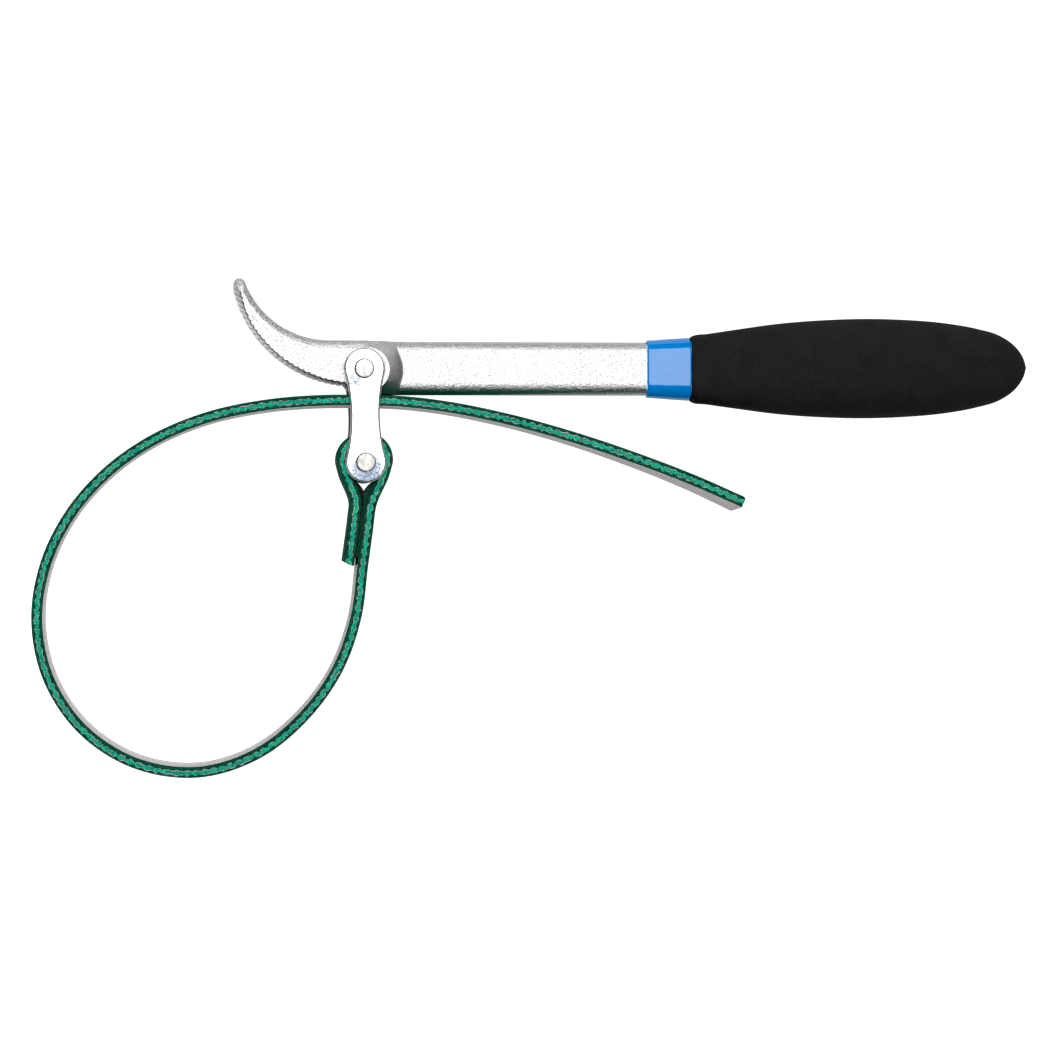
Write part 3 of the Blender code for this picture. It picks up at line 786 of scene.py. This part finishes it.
def slope_rings(top, side):
    """Rings from the boss's edge outwards: a hollow cone that blends into the shank.

    The side is 1 for the upper face and -1 for the lower one.
    """
    fall = (top - SHANK_HALF_THICKNESS) / SLOPE_WIDTH
    rings = []
    for i in range(SLOPE_STEPS + 1):
        out = SLOPE_WIDTH * SLOPE_REACH * i / SLOPE_STEPS
        cone = top - fall * out - SLOPE_HOLLOW * math.sin(min(math.pi, math.pi * out / SLOPE_WIDTH))
        ring = []
        for x, y in circle(BOSS_CENTRE, SLOPE_START + out, SLOPE_SIDES):
            flat = bar_height(y - AXIS_Y) - SLOPE_SINK
            blend = max(0.0, SLOPE_BLEND - abs(cone - flat)) ** 2 / (4 * SLOPE_BLEND)
            ring.append((x, y, MID_HEIGHT + side * (max(cone, flat) + blend)))
        rings.append(ring)
    return rings


def slope_solid(material):
    """The slope on both faces, kept within the shank's height."""
    top = HEAD_HALF - BOSS_EDGE
    slope = loft("slope", slope_rings(top, 1) + slope_rings(top, -1)[::-1], material)
    keep = (SHANK_HALF_HEIGHT - 0.00015, HEAD_HALF + CUTTER_MARGIN, 0.0040)
    combine(slope, loft("keep", [bar_section(x, *keep, steps=9) for x in SLOPE_ENDS], None), "INTERSECT")
    return slope


def boss_solid(material):
    """The round boss, its edges rounded."""
    rims = [(HEAD_HALF - depth, BOSS_RADIUS - inset) for depth, inset in quarter_round(BOSS_EDGE)]
    rims = [(-z, r) for z, r in reversed(rims)] + rims
    sections = [stacked(circle(BOSS_CENTRE, r, BOSS_SIDES), MID_HEIGHT + z) for z, r in rims]
    return loft("boss", sections, material)


def bar_solid(material):
    """The shank as far as the sleeve's mouth, and the start of the tang inside the sleeve."""
    shank = (SHANK_HALF_HEIGHT, SHANK_HALF_THICKNESS, SHANK_CORNER)
    mouth = SLEEVE_START - FIT_GAP
    places = [(-0.0005, shank), (mouth, shank), (mouth, TANG), (mouth + TANG_LENGTH, TANG)]
    return loft("bar", [bar_section(x, *size) for x, size in places], material)


def bore_cutter():
    """The hole for the pivot rivet."""
    ends = (-CUTTER_MARGIN, STACK_HEIGHT + CUTTER_MARGIN)
    outline = circle((PIVOT.x, PIVOT.y), RIVET_RADIUS + FIT_GAP, 64)
    return loft("bore", [stacked(outline, z) for z in ends], None)


def unshade_past_pivot(lever):
    """Only the nose carries painted shade, so the solids joined to it are cleared of it."""
    for vertex, painted_shade in zip(lever.data.vertices, lever.data.attributes["painted_shade"].data):
        if vertex.co.x > PIVOT.x:
            painted_shade.value = 0.0


def make_lever(material):
    """The forging: nose, boss, shank and the start of the tang as one solid."""
    lever = nose_solid(material)
    for part in (slope_solid(material), boss_solid(material), bar_solid(material)):
        combine(lever, part, "UNION")
    combine(lever, bore_cutter(), "DIFFERENCE")
    unshade_past_pivot(lever)
    shade(lever, 28)
    even_normals(lever)
    return lever


# ---------------------------------------------------------------- handle

def make_collar(material):
    """The part of the sleeve that shows: a moulded lip, a tapered face and a rounded shoulder."""
    pocket = (0.0099, 0.0047, 0.0023)
    start = SLEEVE_START
    end = GRIP_START - FIT_GAP
    # place along the handle, half height, half thickness, corner radius
    profile = [
        (start + 0.0060, *pocket),
        (start, *pocket),
        (start, 0.0104, 0.0057, 0.0056),
        (start + 0.00010, 0.01068, 0.00598, 0.00585),
        (start + 0.00030, 0.01086, 0.00616, 0.00602),
        (start + 0.00060, 0.01095, 0.00624, 0.00610),
        (start + 0.00090, 0.01096, 0.00622, 0.00608),
        (start + 0.00125, 0.01093, 0.00615, 0.00601),
        (start + 0.00190, 0.01094, 0.00616, 0.00602),
        (start + 0.00400, 0.01110, 0.00633, 0.00619),
        ((start + end) / 2, 0.01142, 0.00662, 0.00648),
        (end - 0.00080, 0.01189, 0.00696, 0.00682),
        (end - 0.00030, 0.01193, 0.00698, 0.00684),
        (end - 0.00008, 0.01184, 0.00690, 0.00676),
        (end, 0.01170, 0.00676, 0.00662),
        (end, 0.0106, 0.0060, 0.0040),
        (end + 0.0080, 0.0106, 0.0060, 0.0040),
    ]
    sections = [bar_section(*place) for place in profile]
    return loft("collar", sections, material, sharp=50)


GRIP_RISE = 0.0009
LIP_LENGTH = 0.0006
LIP_TUCK = 0.0004

# The grip's pocket, and its outside: place, half height, half thickness, squareness
GRIP_POCKET = [
    (GRIP_START + 0.0060, 0.0109, 0.0064, 4.0),
    (GRIP_START + 0.0003, 0.0110, 0.0065, 4.0),
    (GRIP_START, 0.0113, 0.0068, 3.6),
]
GRIP_STATIONS = [
    (GRIP_START, 0.0121, 0.0079, 2.9),
    (0.1245, 0.0126, 0.0084, 2.9),
    (0.1300, 0.01335, 0.0090, 2.8),
    (0.1400, 0.0148, 0.0106, 2.6),
    (0.1580, 0.0172, 0.0132, 2.4),
    (0.1740, 0.0184, 0.0148, 2.2),
    (0.1900, 0.01885, 0.0155, 2.2),
    (0.2060, 0.0184, 0.0152, 2.2),
    (0.2210, 0.0171, 0.0142, 2.2),
    (0.2330, 0.0150, 0.0126, 2.2),
    (0.2415, 0.0125, 0.0106, 2.1),
    (0.2480, 0.0081, 0.0070, 2.0),
    (0.2512, 0.0034, 0.0030, 2.0),
    (GRIP_END, 0.0003, 0.0003, 2.0),
]


def smooth_through(points, steps):
    """A smooth curve through unevenly spaced points, their spacing measured in X and Y."""
    knots = [Vector(p) for p in points]
    lengths = [(b - a).xy.length for a, b in zip(knots, knots[1:])]
    slopes = [(b - a) / d for a, b, d in zip(knots, knots[1:], lengths)]
    inner = [(before * far + after * near) / (near + far)
             for before, after, near, far in zip(slopes, slopes[1:], lengths, lengths[1:])]
    tangents = [slopes[0]] + inner + [slopes[-1]]
    curve = []
    for i, length in enumerate(lengths):
        for j in range(steps):
            t = j / steps
            blend = t * t * (3 - 2 * t)
            leave = t * (1 - t) ** 2 * length
            arrive = t * t * (t - 1) * length
            curve.append(knots[i] * (1 - blend) + knots[i + 1] * blend
                         + tangents[i] * leave + tangents[i + 1] * arrive)
    curve.append(knots[-1])
    return curve


def grip_axis(x):
    """The grip's own axis climbs a little out to its tip."""
    return AXIS_Y + GRIP_RISE * (x - GRIP_START) / (GRIP_END - GRIP_START)


def oval(x, half_y, half_z, squareness):
    """A superellipse across the handle at x: squareness 2 is an ellipse."""
    points = []
    for i in range(ROUND_SIDES):
        angle = 2 * math.pi * i / ROUND_SIDES
        y = math.copysign(abs(math.cos(angle)) ** (2 / squareness), math.cos(angle))
        z = math.copysign(abs(math.sin(angle)) ** (2 / squareness), math.sin(angle))
        points.append((x, grip_axis(x) + half_y * y, MID_HEIGHT + half_z * z))
    return points


def make_grip(material):
    """The soft grip, with a pocket for the collar's end and a rounded lip round it."""
    sections = [oval(*place) for place in GRIP_POCKET]
    for x, half_y, half_z, squareness in smooth_through(GRIP_STATIONS, 10):
        into = min(1.0, (x - GRIP_START) / LIP_LENGTH)
        tuck = LIP_TUCK * (1 - math.sqrt(1 - (1 - into) ** 2))
        sections.append(oval(x, half_y - tuck, half_z - tuck, squareness))
    return loft("grip_moulding", sections, material, sharp=60)


# ---------------------------------------------------------------- belt

# Offsets across the belt are from its middle line, and positive on its outside
BELT_HALF = 0.0021
FACING = 0.00014
PLY_MIDDLE = 0.00080
PLY_HALF = 0.00013

# The eye round the spacer, and the short leg beside the route's last two spans
EYE_OFFSET = (-0.0003, 0.0010)
EYE_MID_RADIUS = 0.0063 + BELT_HALF
EYE_FLANK_ANGLE = math.radians(26.0)
EYE_POINTS = 9
LEG_SPACING = 2 * BELT_HALF + 0.0010
LEG_SPANS = 2

# Steps along a span of the route, along the belt and across a layer's edge
CURVE_STEPS = 16
STATION_STEP = 0.00034
EDGE_STEPS = 4

# The ends: the free one is rounded, raked and leans out; the spliced one is slanted
TAIL_CORNER = 0.0013
TAIL_RAKE = 0.04
TAIL_LEAN = 0.0012
TAIL_LEAN_REACH = 0.090
SHORT_SLANT = 0.38
SHORT_CORNER = 0.0003

# Where the core runs off the belt's middle, by length along the belt
LOOP_BOTTOM = 0.400
LOOP_BOTTOM_REACH = 0.075

# The adhesive, by length from the eye along both legs
BOND_START = 0.0050
BOND_END_GAP = 0.0030
BOND_DIP = 0.0053
BOND_DIP_REACH = 0.020
BOND_STEPS = 90
BOND_COLUMNS = 8

# Middle of the belt's edge, from the free tail's end round the loop and up to the splice
BELT_ROUTE = [
    (0.1425, -0.0499),
    (0.1230, -0.0414),
    (0.1030, -0.0338),
    (0.0790, -0.0258),
    (0.0530, -0.0187),
    (0.0290, -0.0140),
    (0.0120, -0.0122),
    (0.0000, -0.0119),
    (-0.0180, -0.0121),
    (-0.0360, -0.0137),
    (-0.0610, -0.0193),
    (-0.0807, -0.0282),
    (-0.0966, -0.0400),
    (-0.1091, -0.0547),
    (-0.1178, -0.0724),
    (-0.1212, -0.0931),
    (-0.1170, -0.1148),
    (-0.1043, -0.1340),
    (-0.0844, -0.1467),
    (-0.0610, -0.1499),
    (-0.0391, -0.1428),
    (-0.0221, -0.1289),
    (-0.0100, -0.1119),
    (-0.0032, -0.0927),
    (-0.0006, -0.0730),
    (0.0012, -0.0600),
    (0.0024, -0.0510),
]


def right_normals(curve):
    """The unit vectors to the right of a curve, one at each point."""
    normals = []
    for i in range(len(curve)):
        run = (curve[min(i + 1, len(curve) - 1)] - curve[max(i - 1, 0)]).normalized()
        normals.append(Vector((run.y, -run.x)))
    return normals


def belt_line():
    """The belt's whole middle line, from the tail's end to the end of the short leg.

    Also gives the places in the row at which the eye starts and ends.  The short leg
    starts three points short of the route's end, so that the turn into it is smooth.
    """
    eye_centre = (BELT_PIN.x + EYE_OFFSET[0], BELT_PIN.y + EYE_OFFSET[1])
    eye = arc(eye_centre, EYE_MID_RADIUS, -EYE_FLANK_ANGLE, math.pi + EYE_FLANK_ANGLE, EYE_POINTS)
    run = smooth_through(BELT_ROUTE + eye, CURVE_STEPS)
    normals = right_normals(run)
    last = (len(BELT_ROUTE) - 1) * CURVE_STEPS
    first = last - LEG_SPANS * CURVE_STEPS - 1
    leg = [run[i] - normals[i] * LEG_SPACING for i in range(last - 3, first - 1, -1)]
    turn = smooth_through([eye[-2], eye[-1]] + leg[:2], CURVE_STEPS)
    eye_ends = (len(BELT_ROUTE) * CURVE_STEPS, len(run) - 1)
    return run + turn[CURVE_STEPS + 1:-CURVE_STEPS] + leg[1:], eye_ends


class Belt:
    """Points of the belt by length along it and offset from its middle line."""

    def __init__(self):
        line, (eye_start, eye_end) = belt_line()
        self.xy = np.array([tuple(p) for p in line])
        steps = np.linalg.norm(np.diff(self.xy, axis=0), axis=1)
        self.lengths = np.concatenate([[0.0], np.cumsum(steps)])
        self.normals = np.array([tuple(n) for n in right_normals(line)])
        self.total = float(self.lengths[-1])
        self.eye = (float(self.lengths[eye_start]), float(self.lengths[eye_end]))

    def point(self, along, offset):
        x, y = (np.interp(along, self.lengths, self.xy[:, i]) for i in (0, 1))
        nx, ny = (np.interp(along, self.lengths, self.normals[:, i]) for i in (0, 1))
        size = math.hypot(nx, ny)
        return x + nx / size * offset, y + ny / size * offset


def tail_cut(offset):
    """How far the free end is cut back: a rounded outer corner and a slightly raked face."""
    into = max(0.0, offset - (BELT_HALF - TAIL_CORNER)) / TAIL_CORNER
    rounding = TAIL_CORNER * (1 - math.sqrt(max(0.0, 1 - into ** 2)))
    return rounding + TAIL_RAKE * (BELT_HALF - offset)


def short_cut(offset):
    """How far the spliced end is cut back: slanted, with a small round at its long corner."""
    return SHORT_SLANT * (offset + BELT_HALF) + SHORT_CORNER * max(0.0, -offset / BELT_HALF) ** 4


def wobble(along, seed):
    """A slow, uneven wave between about -1 and 1."""
    return (0.5 * math.sin(along / 0.0213 + seed) + 0.3 * math.sin(along / 0.0091 + 2.3 * seed)
            + 0.2 * math.sin(along / 0.0047 + 4.1 * seed))


def ply_middle(along, side):
    """Offset of a woven ply's middle: it waves with the weave, and drifts slowly."""
    pitch = 0.00350 if side > 0 else 0.00342
    seed = 1.7 if side > 0 else 4.9
    phase = 2 * math.pi * along / pitch + 1.5 * wobble(along, seed)
    swing = 0.00021 + 0.00010 * wobble(along * 1.7, seed + 0.6)
    lean = 0.5 + 0.5 * math.sin(phase)
    wave = swing * (2 * lean ** 1.4 - 1)
    jitter = 0.00004 * wobble(along * 11.0, seed + 2.0)
    drift = 0.00010 * wobble(along * 0.6, 0.4) + core_drift(along)
    return side * PLY_MIDDLE + wave + jitter + drift


def core_drift(along):
    """The core runs nearest to the belt's outer face in the middle of the loop's bottom."""
    off_bottom = (along - LOOP_BOTTOM) / LOOP_BOTTOM_REACH
    return 0.00006 + 0.00034 * math.exp(-off_bottom ** 2)


def ply_half(along, side):
    """Half a ply's thickness, which swells and thins with the yarn."""
    return PLY_HALF * (1 + 0.45 * wobble(along * 5.3, 3.0 + side))


def tail_lean(along):
    """How far the belt's lower edge leans out below its upper edge near the free end."""
    return TAIL_LEAN * max(0.0, 1 - along / TAIL_LEAN_REACH) ** 2


def ply_face(side, rank):
    """A ply's face as a function of the length along the belt: rank 1 is its outer one."""
    return lambda along: ply_middle(along, side) + rank * ply_half(along, side)


def layer_bounds():
    """Each layer's name and its two faces as functions of the length along the belt."""
    return [
        ("cover_outside", ply_face(1, 1), lambda along: BELT_HALF),
        ("ply_outside", ply_face(1, -1), ply_face(1, 1)),
        ("core_band", ply_face(-1, 1), ply_face(1, -1)),
        ("ply_inside", ply_face(-1, -1), ply_face(-1, 1)),
        ("cover_inside", lambda along: FACING - BELT_HALF, ply_face(-1, -1)),
        ("facing_inside", lambda along: -BELT_HALF, lambda along: FACING - BELT_HALF),
    ]


def make_layer(belt, name, low_face, high_face, dome, material):
    """One layer of the laminate, its cut edges domed by a little."""
    count = int(belt.total / STATION_STEP)
    shares = [i / EDGE_STEPS for i in range(EDGE_STEPS + 1)]
    sections = []
    runs = []
    for i in range(count + 1):
        along = belt.total * i / count
        low = low_face(along)
        high = high_face(along)
        row = []
        for share in shares:
            offset = low + (high - low) * share
            place = min(max(along, tail_cut(offset)), belt.total - short_cut(offset))
            rise = dome * (4 * share * (1 - share) - 1)
            row.append((place, offset, rise))
        bottom = [(*belt.point(p, offset - tail_lean(p)), BELT_LOW - rise) for p, offset, rise in row]
        top = [(*belt.point(p, offset), BELT_HIGH + rise) for p, offset, rise in reversed(row)]
        sections.append(bottom + top)
        runs += [along] * (2 * len(shares))
    obj = loft(name, sections, material, sharp=50)
    store(obj, "across", (shares + shares[::-1]) * (count + 1))
    store(obj, "run", runs)
    return obj


def make_bond(belt, material):
    """The adhesive between the spliced legs: it climbs both legs, and dips between them."""
    main, short = belt.eye
    end = belt.total - short - BOND_END_GAP
    shares = [i / BOND_COLUMNS for i in range(BOND_COLUMNS + 1)]
    sections = []
    for i in range(BOND_STEPS + 1):
        along = BOND_START + (end - BOND_START) * i / BOND_STEPS
        dip = BOND_DIP * max(0.0, 1 - (along - BOND_START) / BOND_DIP_REACH)
        shrink = 0.0002 + 0.0003 * (1 + wobble(along * 1.5, 0.9))
        row = []
        for share in shares:
            sunk = along + dip * (1 - abs(2 * share - 1))
            near = Vector(belt.point(main - sunk, -BELT_HALF))
            far = Vector(belt.point(short + sunk, -BELT_HALF))
            row.append(near.lerp(far, share))
        sections.append([(*p, BELT_LOW + shrink) for p in row]
                        + [(*p, BELT_HIGH - shrink) for p in reversed(row)])
    bond = loft("adhesive_line", sections, material)
    store(bond, "across", (shares + shares[::-1]) * (BOND_STEPS + 1))
    return bond


# ---------------------------------------------------------------- studio

FLOOR_HALF = 6.0
FLOOR_HEIGHT = -0.0004
SOFTBOX_SIZE = (1.40, 2.16)
SOFTBOX_RADIANCE = 3.2
SOFTBOX_REACH = 1.5
SOFTBOX_TILT = math.radians(14)
SOFTBOX_AIM = (0.05, 0.0, 0.0)
BLACK_LEVEL = 0.007


def make_floor():
    """A plain pale sheet that glows by itself, so it stays white under the tool.

    It glows most for the camera, more for matt surfaces than for shiny ones, and more
    under the belt's loop than under the handle.
    """
    corners = [(-FLOOR_HALF, -FLOOR_HALF), (FLOOR_HALF, -FLOOR_HALF),
               (FLOOR_HALF, FLOOR_HALF), (-FLOOR_HALF, FLOOR_HALF)]
    shader = Shader("studio_floor", (0.20, 0.20, 0.20), 0.90, specular=0.0)
    shader.set("Emission Color", (1.0, 1.0, 1.0, 1.0))
    paths = shader.node("ShaderNodeLightPath").outputs
    glow = shader.math("ADD", shader.math("MULTIPLY", paths["Is Camera Ray"], 0.60), 0.50)
    glow = shader.math("ADD", shader.math("MULTIPLY", paths["Is Diffuse Ray"], 0.45), glow)
    under_loop = shader.rise(shader.parts(shader.place)["X"], -0.01, -0.12, 0.38)
    shader.feed(shader.main.inputs["Emission Strength"], shader.math("ADD", under_loop, glow))
    mesh_object("studio_floor", stacked(corners, FLOOR_HEIGHT), [(0, 1, 2, 3)], shader.material)


def make_world():
    """Surroundings for the metal to reflect: dark overhead, and brighter towards each side.

    The camera itself sees white where it looks past the floor.
    """
    world = bpy.data.worlds.new("studio")
    bpy.context.scene.world = world
    world.use_nodes = True
    sky = Nodes(world.node_tree)
    way = sky.parts(sky.node("ShaderNodeTexCoord").outputs["Generated"])
    far = sky.rise(way["Y"], -0.45, 0.90, 0.58)
    left = sky.rise(way["X"], 0.10, -0.90, 0.62)
    near = sky.rise(way["Y"], 0.0, -1.00, 0.36)
    right = sky.rise(way["X"], 0.30, 1.00, 1.30)
    total = sky.math("ADD", sky.math("MAXIMUM", far, left), sky.math("ADD", right, near))
    total = sky.math("ADD", total, 0.020)
    total = sky.math("ADD", total, sky.node("ShaderNodeLightPath").outputs["Is Camera Ray"])
    sky.feed(sky.tree.nodes["Background"].inputs["Strength"], total)


def make_softbox():
    """A rectangular softbox of an even radiance, overhead and a little to the far side."""
    width, depth = SOFTBOX_SIZE
    aim = Vector(SOFTBOX_AIM)
    offset = SOFTBOX_REACH * Vector((0.0, math.sin(SOFTBOX_TILT), math.cos(SOFTBOX_TILT)))
    data = bpy.data.lights.new("overhead_softbox", "AREA")
    data.shape = "RECTANGLE"
    data.size = width
    data.size_y = depth
    data.energy = SOFTBOX_RADIANCE * math.pi * width * depth
    light = bpy.data.objects.new("overhead_softbox", data)
    light.location = aim + offset
    light.rotation_euler = (-offset).to_track_quat("-Z", "Y").to_euler()
    bpy.context.scene.collection.objects.link(light)


def make_camera():
    """Straight above the loop's middle and turned slightly towards the tool's own middle."""
    place = Vector((-0.0500, -0.0620, 1.3500))
    target = Vector((0.0394, -0.0607, MID_HEIGHT))
    data = bpy.data.cameras.new("camera")
    data.lens = 120.33
    data.sensor_width = 36.0
    data.shift_x = 0.06
    data.clip_start = 0.05
    data.clip_end = 30.0
    camera = bpy.data.objects.new("camera", data)
    forward = (target - place).normalized()
    right = forward.cross(Vector((0, 1, 0))).normalized()
    turn = Matrix((right, right.cross(forward), -forward)).transposed()
    camera.matrix_world = Matrix.Translation(place) @ turn.to_4x4()
    bpy.context.scene.collection.objects.link(camera)
    bpy.context.scene.camera = camera


# ---------------------------------------------------------------- assembly

def build_links():
    """The two plates, both rivets and the spacer tube."""
    zinc = zinc_plate([((BELT_PIN.x + 0.0004, BELT_PIN.y - 0.0028, STACK_HEIGHT), 0.0076, 1.0),
                       ((PIVOT.x - 0.0034, PIVOT.y - 0.0044, STACK_HEIGHT), 0.0066, 0.36)])
    rear = make_plate("plate_rear", 0.0, zinc)
    finish_piece(rear, "links", "zinc_plate", "rear_link_plate")
    front = make_plate("plate_front", STACK_HEIGHT - PLATE_THICKNESS, zinc)
    finish_piece(front, "links", "zinc_plate", "front_link_plate")
    upper = make_rivet("rivet_pivot", 0.0, rivet_steel("rivet_steel", (0.69, 0.685, 0.665)))
    finish_piece(upper, "links", "rivet_steel", "pivot_rivet")
    lower = make_rivet("rivet_belt", RIVET_SPACING, rivet_steel("rivet_steel_worn", (0.62, 0.605, 0.575)))
    finish_piece(lower, "links", "rivet_steel", "belt_rivet")
    finish_piece(make_spacer(spacer_steel()), "links", "spacer_steel", "spacer_tube")


def build_handle():
    """The lever, the collar of its sleeve and the grip."""
    finish_piece(make_lever(satin_chrome()), "handle", "satin_chrome", "lever")
    finish_piece(make_collar(blue_plastic()), "handle", "blue_plastic", "handle_sleeve")
    finish_piece(make_grip(black_rubber()), "handle", "black_rubber", "grip")


def build_belt():
    """The belt's six layers, and the adhesive in its splice."""
    belt = Belt()
    cover = belt_cover()
    ply = belt_ply()
    main, short = belt.eye
    facing = belt_facing(glued_from=main - (belt.total - short))
    # the material, how far the cut edges dome, the slot and the CAD node that it stands for
    looks = {
        "cover_outside": (cover, 0.00010, "green_cover", ["belt_outer_cover"]),
        "ply_outside": (ply, 0.00005, "green_cover", []),
        "core_band": (belt_core(), 0.00006, "teal_core", ["belt_core"]),
        "ply_inside": (ply, 0.00005, "green_cover", []),
        "cover_inside": (cover, 0.00010, "green_cover", ["belt_inner_cover"]),
        "facing_inside": (facing, 0.00002, "green_cover", []),
    }
    for name, low_face, high_face in layer_bounds():
        material, dome, slot, nodes = looks[name]
        finish_piece(make_layer(belt, name, low_face, high_face, dome, material), "belt", slot, *nodes)
    finish_piece(make_bond(belt, black_adhesive()), "belt", "black_adhesive", "splice_bond")


def build_studio():
    """The floor, the surroundings, the light, the camera and the picture's contrast."""
    make_floor()
    make_world()
    make_softbox()
    make_camera()
    view = bpy.context.scene.view_settings
    view.view_transform = "Standard"
    view.use_curve_mapping = True
    view.curve_mapping.black_level = (BLACK_LEVEL, BLACK_LEVEL, BLACK_LEVEL)
    view.curve_mapping.update()


build_links()
build_handle()
build_belt()
build_studio()
